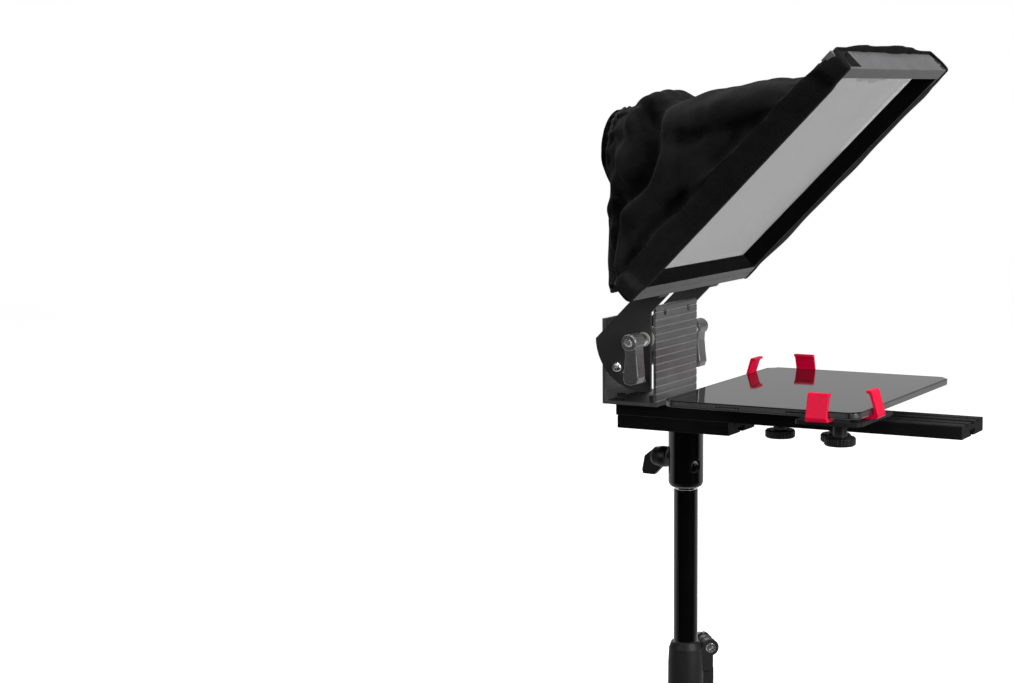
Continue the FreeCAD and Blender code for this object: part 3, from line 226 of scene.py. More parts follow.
# The long drawn profiles stretch their grain along the drawing direction.
FINISHES = {
    "black_profile": dict(
        name="black_anodised_profile", colour=(0.013, 0.013, 0.0135), rough=0.62, spec=0.1,
        grain=420.0, stretch=(0.04, 1.0, 1.0), bump=0.35, depth=0.00006, edge_wear_and_highlight=2.2),
    "grey_ribbed": dict(
        name="grey_anodised_ribbed", colour=(0.155, 0.155, 0.159), rough=0.42, metallic=0.45,
        grain=500.0, stretch=(1.0, 0.04, 1.0), bump=0.3, depth=0.00006, radius=0.0004),
    "frame_coat": dict(
        name="frame_powder_coat", colour=(0.15, 0.15, 0.154), rough=0.5, metallic=0.15, spec=0.45,
        grain=1500.0, bump=0.5, depth=0.00012, radius=0.0006, edge_wear_and_highlight=0.7),
    "side_coat": dict(
        name="side_rail_powder_coat", colour=(0.03, 0.03, 0.031), rough=0.55, spec=0.4,
        grain=1500.0, bump=0.5, depth=0.0001, edge_wear_and_highlight=1.0),
    "wing_coat": dict(
        name="wing_powder_coat", colour=(0.03, 0.03, 0.031), rough=0.5, spec=0.45,
        grain=1600.0, bump=0.55, depth=0.00012, edge_wear_and_highlight=1.8),
    "arm_coat": dict(
        name="arm_powder_coat", colour=(0.012, 0.012, 0.0125), rough=0.5, spec=0.4,
        grain=1600.0, bump=0.5, depth=0.0001, radius=0.0004, edge_wear_and_highlight=1.8),
    "stand_paint": dict(
        name="stand_black_paint", colour=(0.0035, 0.0035, 0.0037), rough=0.16, grain=60.0,
        stretch=(1.0, 1.0, 0.15), bump=0.12, depth=0.00005, radius=0.0004, edge_wear_and_highlight=1.0),
    "nylon_dark": dict(
        name="collar_nylon", colour=(0.018, 0.018, 0.019), rough=0.5, spec=0.42,
        grain=1300.0, bump=0.6, depth=0.00014, radius=0.0009, edge_wear_and_highlight=1.2),
    "knob": dict(
        name="black_knob_plastic", colour=(0.010, 0.010, 0.0105), rough=0.42, spec=0.45,
        grain=1100.0, bump=0.5, depth=0.0001, radius=0.0006),
    "lever": dict(
        name="lever_grey_plastic", colour=(0.2, 0.2, 0.203), rough=0.3, metallic=0.5,
        grain=1300.0, bump=0.45, depth=0.0001, radius=0.0009, edge_wear_and_highlight=0.9),
    "black_steel": dict(
        name="black_oxide_steel", colour=(0.028, 0.028, 0.03), rough=0.34, metallic=0.7,
        grain=700.0, bump=0.3, depth=0.00006, radius=0.0003, edge_wear_and_highlight=2.0),
    "bright_steel": dict(
        name="zinc_plated_steel", colour=(0.6, 0.6, 0.61), rough=0.26, metallic=0.95, cloud=220.0,
        vary=0.18, grain=700.0, bump=0.3, depth=0.00005, radius=0.0003, edge_wear_and_highlight=0.3),
    "chrome": dict(
        name="chromed_steel", colour=(0.62, 0.62, 0.64), rough=0.09, metallic=1.0, cloud=90.0,
        vary=0.08, grain=500.0, stretch=(1.0, 1.0, 0.05), bump=0.1, depth=0.00003,
        radius=0.0004, edge_wear_and_highlight=0.1),
    "nylon_white": dict(
        name="nylon_natural", colour=(0.55, 0.54, 0.5), rough=0.45, spec=0.4, bump=0.3,
        radius=0.0004, edge_wear_and_highlight=0.2),
    "red": dict(
        name="clip_red_plastic", colour=(0.92, 0.002, 0.05), rough=0.42, spec=0.22, cloud=60.0,
        vary=0.1, grain=800.0, depth=0.00006, radius=0.0008, edge_wear_and_highlight=0.1),
    "rubber": dict(
        name="pad_rubber", colour=(0.012, 0.012, 0.012), rough=0.75, spec=0.3,
        grain=1400.0, bump=0.7, depth=0.00015, radius=0.0004, edge_wear_and_highlight=0.6),
}
looks = {key: solid_finish(**finish) for key, finish in FINISHES.items()}
# painted glow: the red clips emit a little light, though they are no lamp
looks["red"].set(looks["red"].bsdf, {"Emission Color": (0.9, 0.0, 0.06, 1),
                                     "Emission Strength": 0.16})


# ------------------------------------------------------------------ cloth finishes
def paint_hood_light_and_shade(tree, base, colour, sheen, axes, middle):
    """Painted light and shade on the hood's colour: lighter low on the flanks, darker at the crown
    and in the folds, with less sheen in the folds.
    """
    # painted light: lighter low on the flanks, most towards -X
    low = tree.times(tree.remap(axes[2], 0.5, 0.6, 0.72, 0.0),
                     tree.remap(axes[0], 0.0, 0.1, 1.0, 0.35))
    base = tree.mix(low, base, tint(colour, 3.0))
    # painted shade: darker high on the crown, towards -X
    crown = tree.times(tree.remap(axes[2], 0.615, 0.665),
                       tree.remap(axes[0], -0.03, -0.002, 0.5, 0.0))
    base = tree.mix(crown, base, tint(colour, 0.3))
    # painted shade read from the fold attribute: darker, with less sheen, in valleys, on the
    # flaps, at the sleeve and in hollows
    fold = tree.node("Attribute")
    fold.attribute_name = "fold"
    ragged = tree.plus(fold.outputs["Fac"], tree.remap(middle, 0.3, 0.7, -0.12, 0.12))
    base = tree.mix(tree.remap(ragged, 0.08, 0.7, 0.0, 0.97), base, tint(colour, 0.08))
    tree.drive("Sheen Weight", tree.remap(ragged, 0.08, 0.6, sheen, 0.0))
    return base


def fabric_finish(name, colour, sheen, pile, weave, patch=0.35, rough=0.92, bump=0.6, fold=False):
    """Napped cloth: weave under a short pile, brushed patches, soft sheen at grazing angles.

    pile: scale of the nap. weave: threads in radians per metre. patch: contrast of the patches.
    """
    tree = Tree(name, colour, rough, 0.0, 0.12)
    large = tree.noise(34.0, 4.0, 0.62)
    middle = tree.noise(150.0, 4.0, 0.65)
    fine = tree.noise(pile, 3.0, 0.7)
    axes = tree.axes()
    # crossing threads along two diagonal directions of the cloth
    warp = tree.wave(tree.plus(tree.plus(axes[0], axes[1]), tree.times(axes[2], 0.6)), weave)
    weft = tree.wave(tree.plus(tree.minus(axes[0], axes[1]), tree.times(axes[2], -1.4)), weave)
    thread = tree.times(warp, weft)
    tone = tree.plus(tree.times(large, 0.62), tree.times(middle, 0.38))
    base = tree.mix(tree.remap(tone, 0.36, 0.64), tint(colour, 1 - patch), tint(colour, 1 + patch))
    # pale tips of the pile
    base = tree.mix(tree.remap(fine, 0.35, 0.75, 0.0, 0.45), base, tint(colour, 2.2))
    # painted light and shade on the hood
    if fold:
        base = paint_hood_light_and_shade(tree, base, colour, sheen, axes, middle)
    tree.drive("Base Color", base)
    height = tree.plus(tree.times(fine, 0.75), tree.times(thread, 0.16))
    height = tree.plus(height, tree.times(middle, 0.8))
    tree.drive("Normal", tree.bump(height, bump, distance=0.0006))
    tree.set(tree.bsdf, {"Sheen Weight": sheen, "Sheen Roughness": 0.42,
                         "Sheen Tint": (0.85, 0.85, 0.88, 1)})
    tree.drive("Roughness", tree.remap(middle, 0.3, 0.7, rough - 0.06, 1.0))
    return tree


FABRICS = {
    "velvet": dict(name="hood_velvet", colour=(0.0088, 0.0088, 0.0091), sheen=0.03, pile=900.0,
                   weave=5200.0, patch=0.5, bump=0.85, fold=True),
    "hem": dict(name="hood_hem_binding", colour=(0.03, 0.03, 0.031), sheen=0.16, pile=1700.0,
                weave=6500.0, patch=0.2),
    "flock": dict(name="flock", colour=(0.0016, 0.0016, 0.0016), sheen=0.012, pile=1300.0,
                  weave=4000.0, patch=0.6, bump=0.9),
    "hook": dict(name="hook_tape", colour=(0.02, 0.02, 0.02), sheen=0.1, pile=900.0,
                 weave=3600.0, patch=0.25, rough=0.8),
    "thread": dict(name="stitch_thread", colour=(0.010, 0.010, 0.0102), sheen=0.03, pile=2500.0,
                   weave=9000.0, patch=0.15, rough=0.7),
}
for key, fabric in FABRICS.items():
    looks[key] = fabric_finish(**fabric)


def cord_finish():
    """Braided cord: two sets of strands crossing along the diagonals."""
    tree = Tree("cord", (0.014, 0.014, 0.0145), rough=0.75, spec=0.2)
    strands = 5200.0  # radians per metre
    axes = tree.axes()
    one_way = tree.wave(tree.plus(tree.plus(axes[1], axes[2]), axes[0]), strands)
    other_way = tree.wave(tree.minus(tree.plus(axes[1], axes[0]), axes[2]), strands)
    braid = tree.times(one_way, other_way)
    tree.drive("Base Color", tree.mix(tree.remap(braid, -1.0, 1.0),
                                      (0.006, 0.006, 0.006), (0.03, 0.03, 0.031)))
    tree.drive("Normal", tree.bump(braid, strength=0.8, distance=0.0004))
    tree.set(tree.bsdf, {"Sheen Weight": 0.15})
    return tree


# ------------------------------------------------------------------ glass and tablet
def splitter_glass():
    """Half-mirror coating: part of the light is turned, the rest goes on to the dark hood."""
    tree = Tree("beam_splitter", (0.62, 0.64, 0.66), rough=0.02)
    tree.graph.nodes.remove(tree.bsdf)
    glossy = tree.node("BsdfGlossy")
    clear = tree.node("BsdfTransparent")
    mixer = tree.node("MixShader")
    dust = tree.noise(26.0, 5.0, 0.7)
    fine = tree.noise(240.0, 3.0, 0.7)
    tree.set(glossy, {"Color": (1, 1, 1, 1)})
    tree.set(clear, {"Color": (0.72, 0.73, 0.72, 1)})
    smear = tree.plus(dust, tree.times(fine, 0.2))
    tree.link(tree.remap(smear, 0.4, 0.9, 0.02, 0.05), glossy.inputs["Roughness"])
    # share of the light that is mirrored
    tree.link(tree.remap(dust, 0.3, 0.7, 0.372, 0.386), mixer.inputs[0])
    tree.link(clear.outputs[0], mixer.inputs[1])
    tree.link(glossy.outputs[0], mixer.inputs[2])
    tree.link(mixer.outputs[0], tree.out.inputs[0])
    return tree


def cover_glass():
    """Tablet front: black border and dark display under glossy glass, with a little dust."""
    border_width = 0.009
    tree = Tree("tablet_cover_glass", (0.004, 0.004, 0.0045), rough=0.05)
    axes = tree.axes()
    low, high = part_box("tablet_glass")
    centre_x, centre_y = (low.x + high.x) / 2, (low.y + high.y) / 2
    past_x = tree.minus(tree.distance(axes[0], centre_x), (high.x - low.x) / 2 - border_width)
    past_y = tree.minus(tree.distance(axes[1], centre_y), (high.y - low.y) / 2 - border_width)
    border = tree.remap(tree.math("MAXIMUM", past_x, past_y), -0.0002, 0.0002)
    dust = tree.noise(70.0, 5.0, 0.75)
    base = tree.mix(border, (0.010, 0.010, 0.0115), (0.003, 0.003, 0.003))
    tree.drive("Base Color", tree.mix(tree.remap(dust, 0.5, 0.8, 0.0, 0.25), base,
                                      (0.03, 0.03, 0.03)))
    tree.drive("Roughness", tree.remap(dust, 0.35, 0.75, 0.035, 0.085))
    tree.set(tree.bsdf, {"IOR": 1.5})
    return tree


def tablet_metal():
    """Bead-blasted grey aluminium with antenna lines, rows of holes and a dark top joint."""
    line_inset = 0.0085  # antenna lines, from each X end
    dot_pitch, dot_start, dot_height = 0.0025, -0.038, 0.0029
    hole_rows = ((-0.0395, -0.0165), (0.0245, 0.0475))  # X ranges from the middle
    soft = 0.0002
    tree = solid_finish("tablet_metal", (0.17, 0.17, 0.175), rough=0.34, metallic=0.85,
                        cloud=30.0, vary=0.08, grain=1900.0, bump=0.35, depth=0.00005,
                        radius=0.0004, edge_wear_and_highlight=0.9)
    axes = tree.axes()
    low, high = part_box("tablet_case")

    def joined(masks, mask):
        return mask if masks is None else tree.math("MAXIMUM", masks, mask)

    lines = None
    for x in (low.x + line_inset, high.x - line_inset):
        lines = joined(lines, tree.remap(tree.distance(axes[0], x), 0.0004, 0.00065, 1.0, 0.0))
    side = tree.remap(tree.math("ABSOLUTE", axes[1]), high.y - 0.004, high.y - 0.003)
    metal = tree.colour_so_far()
    centre_x = (low.x + high.x) / 2
    # a dark band under the skin of both long sides, and round dots on the skin
    off_axis = tree.math("ABSOLUTE", axes[1])
    holes = tree.band(off_axis, (high.y - 0.0034, high.y - 0.0033),
                      (high.y - 0.0003, high.y - 0.0002))
    spans = None
    for start, end in hole_rows:
        start, end = centre_x + start, centre_x + end
        spans = joined(spans, tree.band(axes[0], (start, start + soft), (end, end + soft)))
    along = tree.minus(axes[0], centre_x + dot_start)
    count = tree.plus(tree.math("DIVIDE", along, dot_pitch), 0.5)
    along = tree.from_cell_centre(count, dot_pitch)
    above = tree.minus(axes[2], low.z + dot_height)
    radius_squared = tree.plus(tree.times(along, along), tree.times(above, above))
    dots = tree.times(tree.remap(radius_squared, 0.00076 ** 2, 0.00084 ** 2, 1.0, 0.0),
                      tree.remap(off_axis, high.y - 0.0034, high.y - 0.0033))
    holes = tree.math("MAXIMUM", holes, dots)
    joint = tree.remap(axes[2], high.z - 0.0011, high.z - 0.0009)
    dark = tree.math("MAXIMUM", tree.times(holes, spans), joint)
    metal = tree.mix(dark, metal, (0.004, 0.004, 0.004))
    tree.drive("Metallic", tree.remap(dark, 0.0, 1.0, 0.85, 0.0))
    tree.drive("Base Color", tree.mix(tree.times(lines, side), metal, (0.03, 0.03, 0.031)))
    return tree


looks["cord"] = cord_finish()
looks["splitter"] = splitter_glass()
looks["cover"] = cover_glass()
looks["tablet"] = tablet_metal()
looks["display"] = solid_finish("display_black", (0.006, 0.006, 0.0065), rough=0.2, bump=0.1)


# ------------------------------------------------------------------ grooves, pocket, mirror
def paint_groove_light_and_shade(tree):
    """Paint light and shade into the channel's grooves by height: a painted highlight on the lower
    edge, painted shade on the upper one.
    """
    plate_x = -0.0092  # the painted highlight and shade start just short of this, on the +X side
    first_z, pitch = 0.3802, 0.0068
    outer, inner, middle = 0.00085, 0.0007, 0.00002  # distances from a groove's centre
    axes = tree.axes()
    zone = tree.remap(axes[0], plate_x - 0.0014, plate_x - 0.0013)
    count = tree.math("DIVIDE", tree.minus(axes[2], first_z - pitch / 2), pitch)
    height = tree.from_cell_centre(count, pitch)
    uneven = tree.remap(tree.noise(420.0, 3.0, 0.7), 0.3, 0.7, 0.7, 1.0)
    # painted highlight on each groove's lower edge
    light = tree.band(height, (-outer, -inner), (-middle, middle))
    light = tree.times(tree.times(light, zone), uneven)
    # painted shade on each groove's upper edge
    dark = tree.times(tree.band(height, (-middle, middle), (inner, outer)), zone)
    metal = tree.colour_so_far()
    shaded = tree.mix(dark, metal, (0.05, 0.05, 0.051))
    tree.drive("Base Color", tree.mix(light, shaded, (0.5, 0.5, 0.51)))


def dark_pocket():
    """The top rail's coat, near black and less shiny inside the lock screw's pocket."""
    pocket_y = -0.1045
    tree = solid_finish(**FINISHES["frame_coat"] | dict(
        name="frame_powder_coat_pocket", colour=(0.145, 0.145, 0.149)))
    axes = tree.axes()
    from_x, from_z = MIRROR_X * MM, MIRROR_Z * MM
    slope = tree.times(tree.plus(tree.minus(axes[0], from_x), tree.minus(axes[2], from_z)), DIAG)
    off_centre = tree.distance(axes[1], pocket_y)
    inside = tree.times(tree.remap(off_centre, 0.01345, 0.0136, 1.0, 0.0),
                        tree.remap(slope, 0.2621, 0.2624, 1.0, 0.0))
    inside = tree.times(inside, tree.remap(slope, 0.2490, 0.2493))
    rise = tree.times(tree.minus(tree.minus(axes[2], from_z), tree.minus(axes[0], from_x)), DIAG)
    inside = tree.times(inside, tree.remap(rise, 0.0003, 0.0006))
    coat = tree.colour_so_far()
    tree.drive("Base Color", tree.mix(inside, coat, (0.006, 0.006, 0.0062)))
    tree.drive("Specular IOR Level", tree.remap(inside, 0.0, 1.0, 0.45, 0.1))
    return tree


def unseen_in_mirror(tree, see_through):
    """Keep a finish from leaving a dark band in the half mirror.

    A see-through finish vanishes for every mirrored ray. The others glow as brightly as the
    floor behind them, and only for mirrored rays that reach them from above.
    """
    rays = tree.node("LightPath")
    clear = tree.node("BsdfTransparent" if see_through else "Emission")
    if not see_through:
        clear.inputs["Strength"].default_value = 0.72
    pick = tree.node("MixShader")
    geometry = tree.node("NewGeometry")
    way = tree.node("SeparateXYZ")
    tree.link(geometry.outputs["Incoming"], way.inputs[0])
    from_above = tree.remap(way.outputs[2], 0.2, 0.22)
    hidden = tree.math("MAXIMUM", from_above, 1.0 if see_through else 0.0)
    tree.link(tree.times(rays.outputs["Is Glossy Ray"], hidden), pick.inputs[0])
    tree.link(tree.bsdf.outputs[0], pick.inputs[1])
    tree.link(clear.outputs[0], pick.inputs[2])
    tree.link(pick.outputs[0], tree.out.inputs[0])


paint_groove_light_and_shade(looks["grey_ribbed"])
looks["top_coat"] = dark_pocket()
for key in "velvet hem flock hook thread side_coat cord frame_coat top_coat".split():
    unseen_in_mirror(looks[key], see_through=True)
for key in ("wing_coat lever black_steel bright_steel nylon_white grey_ribbed knob arm_coat "
            "stand_paint nylon_dark chrome black_profile").split():
    unseen_in_mirror(looks[key], see_through=False)

# finish, then the CAD pieces that wear it
WEAR = {
    "black_profile": "base_rail adaptor_block",
    "grey_ribbed": "upright_channel",
    "frame_coat": "bottom_rail",
    "top_coat": "top_rail",
    "side_coat": "side_rail_left side_rail_right",
    "wing_coat": "wing_left wing_right cradle_saddle",
    "arm_coat": "corner_arm_front corner_arm_rear cradle_bar",
    "stand_paint": "stand_lower_tube stand_riser_tube socket_adaptor",
    "nylon_dark": "stand_collar",
    "knob": "collar_knob wing_screw saddle_knob_a saddle_knob_b arm_knob_front arm_knob_rear "
            "cord_lock riser_bushing",
    "lever": "lever_handle_left lever_handle_right",
    "black_steel": "block_screws upright_screws slot_nuts frame_screws bar_screws cradle_bolts "
                   "socket_bolt clip_screws_front clip_screws_rear pivot_rod",
    "bright_steel": "collar_bolt guide_screws lever_insert_left lever_insert_right "
                    "lever_screw_left lever_screw_right glass_lock_screw",
    "chrome": "stand_spigot",
    "nylon_white": "pivot_washers",
    "red": "clips_front clips_rear",
    "rubber": "arm_pads_front arm_pads_rear",
    "splitter": "beam_splitter_glass",
    "flock": "flock_liners",
    "hook": "hook_tape",
    "velvet": "hood_shell",
    "cord": "hood_drawcord",
    "tablet": "tablet_case tablet_power_key tablet_volume_keys",
    "cover": "tablet_glass",
    "display": "tablet_display",
}
bare = set(nodes)
for key, names in WEAR.items():
    for name in names.split():
        slots = nodes[name].data.materials
        slots.clear()
        slots.append(looks[key].mat)
        bare.discard(name)
if bare:
    raise RuntimeError(f"no material for {sorted(bare)}")


# ------------------------------------------------------------------ mesh helpers
def new_mesh(name, verts, faces, mat):
    mesh = bpy.data.meshes.new(name)
    mesh.from_pydata([tuple(v) for v in verts], [], faces)
    mesh.validate()
    mesh.update()
    mesh.polygons.foreach_set("use_smooth", [True] * len(mesh.polygons))
    mesh.materials.append(mat)
    piece = bpy.data.objects.new(name, mesh)
    scene.collection.objects.link(piece)
    return piece


def subdivide_and_apply(piece):
    """Subdivide once, then make the mesh of all the piece's modifiers its own."""
    subdivision = piece.modifiers.new("subd", "SUBSURF")
    subdivision.levels = subdivision.render_levels = 1
    bpy.context.view_layer.update()
    graph = bpy.context.evaluated_depsgraph_get()
    mesh = bpy.data.meshes.new_from_object(piece.evaluated_get(graph), depsgraph=graph)
    piece.modifiers.clear()
    piece.data = mesh
    mesh.polygons.foreach_set("use_smooth", [True] * len(mesh.polygons))


def ring_faces(first, second, sides):
    """Quads between two closed rings that start at these vertex numbers."""
    return [(first + k, first + (k + 1) % sides, second + (k + 1) % sides, second + k)
            for k in range(sides)]


def ring_points(centre, across, other, radius, sides):
    turns = [2 * math.pi * k / sides for k in range(sides)]
    return [centre + across * (math.cos(a) * radius) + other * (math.sin(a) * radius)
            for a in turns]


def tube(name, path, radius, mat, closed=False, taper=lambda share: 1.0):
    """A round section swept along a list of points; an open one gets closed ends."""
    sides = 10
    path = [Vector(p) for p in path]
    count = len(path)
    verts, faces = [], []
    guide = Vector((0.03, 1.0, 0.02)).normalized()
    last = None
    for i, point in enumerate(path):
        before = path[(i - 1) % count] if closed or i else point
        after = path[(i + 1) % count] if closed or i < count - 1 else point
        ahead = (after - before).normalized()
        across = ahead.cross(guide) if last is None else last - ahead * last.dot(ahead)
        if across.length < 1e-6:
            across = ahead.orthogonal()
        across.normalize()
        last = across
        other = ahead.cross(across).normalized()
        size = radius * taper(i / max(1, count - 1))
        verts += ring_points(point, across, other, size, sides)
    for i in range(count if closed else count - 1):
        faces += ring_faces(i * sides, (i + 1) % count * sides, sides)
    if not closed:
        faces.append(tuple(reversed(range(sides))))
        faces.append(tuple((count - 1) * sides + k for k in range(sides)))
    return new_mesh(name, verts, faces, mat)


def smooth01(x):
    x = np.clip(x, 0.0, 1.0)
    return x * x * (3 - 2 * x)


def bell(x, centre, width):
    return np.exp(-(((x - centre) / width) ** 2))


# ------------------------------------------------------------------ hood: one cloth sheet
# The sheet is a grid: rows run from the flaps on the rails to the sleeve, columns run round it.
AROUND = 208
ALONG = 66  # rows behind the flaps
SIDE_Y = 128.5  # mm, half width where the cloth crosses the top and bottom rails
# The cloth's measured sections in mm: centre x, centre z, direction of up x, z,
# half height up, half width, squareness, half height down
SECTIONS = np.array([
    [88.2, 594.3, DIAG, DIAG, 138.6, 128.7, 14.0, 138.6],
    [80.0, 590.0, 0.708, 0.706, 137.0, 129.6, 10.0, 141.5],
    [66.0, 584.2, 0.716, 0.698, 129.5, 130.2, 7.2, 139.5],
    [44.0, 583.8, 0.654, 0.756, 121.0, 128.0, 5.8, 126.0],
    [18.0, 587.0, 0.5646, 0.8254, 108.0, 118.5, 4.4, 107.0],
    [-6.0, 590.5, 0.49, 0.871, 90.0, 104.0, 3.4, 88.0],
    [-25.0, 596.0, 0.40, 0.916, 71.5, 88.0, 2.8, 74.0],
    [-41.0, 601.0, 0.30, 0.954, 74.5, 76.0, 2.5, 66.0],
    [-47.0, 603.5, 0.20, 0.98, 62.0, 61.0, 2.3, 57.0],
    [-54.0, 603.0, 0.08, 0.997, 45.0, 48.0, 2.1, 46.5],
    [-58.5, 602.5, 0.0, 1.0, 42.4, 43.0, 2.0, 42.0],
    [-62.0, 602.3, 0.0, 1.0, 41.0, 41.2, 2.0, 41.0],
    [-66.0, 602.3, 0.0, 1.0, 42.0, 42.2, 2.0, 42.0],
])
# The flap's rows over the side rails in mm: half width, rise
LAP = [(122.3, -0.9), (124.0, -1.0), (126.8, -0.9), (128.5, 0.6), (128.6, 2.8),
       (128.6, 6.0), (128.6, 10.0), (128.6, 14.0), (128.6, 17.5), (128.6, 20.4)]
# Folds drawn on each flank: (x, z) points in mm, height, width.
# A positive height stands out, a negative one is a valley.
FOLDS = [
    ([(-14, 656), (-3, 642), (5, 626), (10, 608), (5, 592), (-10, 580), (-28, 569), (-36, 560)],
     -12.0, 9.5),
    ([(16, 648), (27, 622), (27, 598), (12, 576), (-6, 562)], 5.0, 10.0),
    ([(-32, 650), (-20, 634), (-15, 614), (-23, 598)], 5.0, 11.0),
    ([(-24, 560), (-29, 538), (-30, 514), (-22, 498)], -8.0, 7.0),
    ([(-12, 556), (-16, 536), (-14, 516)], 3.0, 7.0),
    ([(-40, 558), (-42, 536), (-39, 514)], 3.5, 7.0),
    ([(64, 596), (30, 558), (0, 520), (-12, 500)], 3.6, 10.0),
    ([(48, 580), (14, 542), (-4, 516)], -4.2, 6.5),
    ([(96, 626), (60, 588), (26, 552)], -3.0, 8.0),
    ([(176, 690), (170, 668), (160, 650), (146, 634)], -7.0, 5.5),
    ([(160, 676), (154, 660), (142, 646)], 4.0, 8.0),
    ([(132, 664), (104, 655), (70, 652)], 3.0, 9.0),
    ([(122, 644), (74, 632), (38, 628)], -3.4, 8.0),
    ([(112, 600), (84, 596), (52, 606)], 2.2, 10.0),
]


def squircle(power):
    """Distance from the centre to a unit squircle, at every column."""
    return (np.abs(COS) ** power + np.abs(SIN) ** power) ** (-1 / power)


even = 2 * math.pi * (np.arange(AROUND) + 0.5) / AROUND
ANGLE = even + 0.17 * np.sin(4 * even)  # closer together at the corners
COS, SIN = np.cos(ANGLE), np.sin(ANGLE)  # towards +Y, and up
SQUARE = squircle(150)
ON_SIDE = smooth01((np.abs(COS) - np.abs(SIN)) / 0.03 + 1.0)
FLAP = len(LAP)
ROWS = FLAP + ALONG
ROW = np.arange(ROWS)[:, None]
SHARE = np.clip((ROW - FLAP) / (ALONG - 1), 0, 1)  # 0 at the frame, 1 at the mouth
FREE = smooth01((ROW - FLAP - 0.5) / 7.0) * smooth01((ROWS - 4 - ROW) / 9.0)


def mirror_point(slope, y, rise):
    """Mirror coordinates in mm to the row frame in metres."""
    return np.stack([(MIRROR_X + (slope - rise) * DIAG) * MM, y * MM,
                     (MIRROR_Z + (slope + rise) * DIAG) * MM], -1)


def sections():
    """The measured sections, resampled along the hood with a smooth curve."""
    steps = np.hypot(np.diff(SECTIONS[:, 0]), np.diff(SECTIONS[:, 1])) + 6.0
    at = np.concatenate([[0], np.cumsum(steps)])
    tangent = np.gradient(SECTIONS, at, axis=0)
    out = []
    for place in np.linspace(0, at[-1], ALONG):
        j = int(np.searchsorted(at, place, side="right")) - 1
        j = min(max(j, 0), len(SECTIONS) - 2)
        gap = at[j + 1] - at[j]
        s = (place - at[j]) / gap
        out.append((2 * s**3 - 3 * s**2 + 1) * SECTIONS[j]
                   + (s**3 - 2 * s**2 + s) * gap * tangent[j]
                   + (-2 * s**3 + 3 * s**2) * SECTIONS[j + 1]
                   + (s**3 - s**2) * gap * tangent[j + 1])
    return out


def hood_rows():
    """The smooth hood: flaps over the side rails' outer faces, then the narrowing sections."""
    slope = 124.1 + np.where(SIN > 0, 141.6, 141.8) * SQUARE * SIN
    # the two cross rails stand proud of the side rails
    proud = 4.4 * np.maximum(smooth01((slope - 240.0) / 8.0), smooth01((4.0 - slope) / 7.0))
    rows = []
    for j, (half_width, side_rise) in enumerate(LAP):
        rise = side_rise * ON_SIDE + (21.9 + 0.07 * j) * (1 - ON_SIDE)
        y = np.abs(SQUARE * COS) * ((half_width + proud) * ON_SIDE + SIDE_Y * (1 - ON_SIDE))
        rows.append(mirror_point(slope, np.sign(COS) * y, rise))
    for j, section in enumerate(sections()):
        x, z, up_x, up_z, half_up, half_width, power, half_down = section
        outline = squircle(max(2.0, power))
        length = math.hypot(up_x, up_z)
        up = np.where(SIN > 0, half_up, half_down) * outline * SIN
        y = half_width * outline * COS + np.sign(COS) * ON_SIDE * proud * max(0.0, 1.0 - j / 5.0)
        rows.append(np.stack([(x + up_x / length * up) * MM, y * MM,
                              (z + up_z / length * up) * MM], -1))
    return np.array(rows)


def normals(cloth):
    """Unit normals of the grid, pointing out of the hood."""
    around = np.roll(cloth, -1, 1) - np.roll(cloth, 1, 1)
    along = np.zeros_like(cloth)
    along[1:-1] = cloth[2:] - cloth[:-2]
    along[0], along[-1] = cloth[1] - cloth[0], cloth[-1] - cloth[-2]
    normal = np.cross(around, along)
    normal /= np.maximum(np.linalg.norm(normal, axis=2, keepdims=True), 1e-9)
    centre = cloth.mean(1, keepdims=True)
    return normal * np.sign(((cloth - centre) * normal).sum(2).mean())


def line_distance(x, z, line):
    """Distance in mm of points to a line of (x, z) points."""
    best = np.full(x.shape, 1e9)
    for (x0, z0), (x1, z1) in zip(line[:-1], line[1:]):
        dx, dz = x1 - x0, z1 - z0
        t = np.clip(((x - x0) * dx + (z - z0) * dz) / (dx * dx + dz * dz), 0, 1)
        best = np.minimum(best, np.hypot(x - x0 - t * dx, z - z0 - t * dz))
    return best


def fold_relief(cloth):
    """Height of the drawn folds in mm, and how deep each point lies in a valley."""
    normal_y = normals(cloth)[..., 1]
    near_flank = smooth01(-normal_y * 1.6)  # -Y
    far_flank = smooth01(normal_y * 1.6)  # +Y
    x, z = cloth[..., 0] * 1e3, cloth[..., 2] * 1e3
    relief, valleys = np.zeros(x.shape), np.zeros(x.shape)
    for line, height, width in FOLDS:
        away = line_distance(x, z, line)
        relief += near_flank * height * bell(away, 0.0, width)
        if height < -3:
            valleys += (bell(away, 0.0, width * 1.3) * min(1.0, -height / 9.0)
                        * (near_flank + 0.6 * far_flank))
        # the +Y flank has the same folds, shifted and a little lower
        shifted = [(a + 9.0 * math.sin(1.7 * i + height), b - 6.0 * math.cos(2.3 * i + width))
                   for i, (a, b) in enumerate(line)]
        away = line_distance(x, z, shifted)
        relief += far_flank * height * 0.85 * bell(away, 0.0, width)
    return relief, valleys


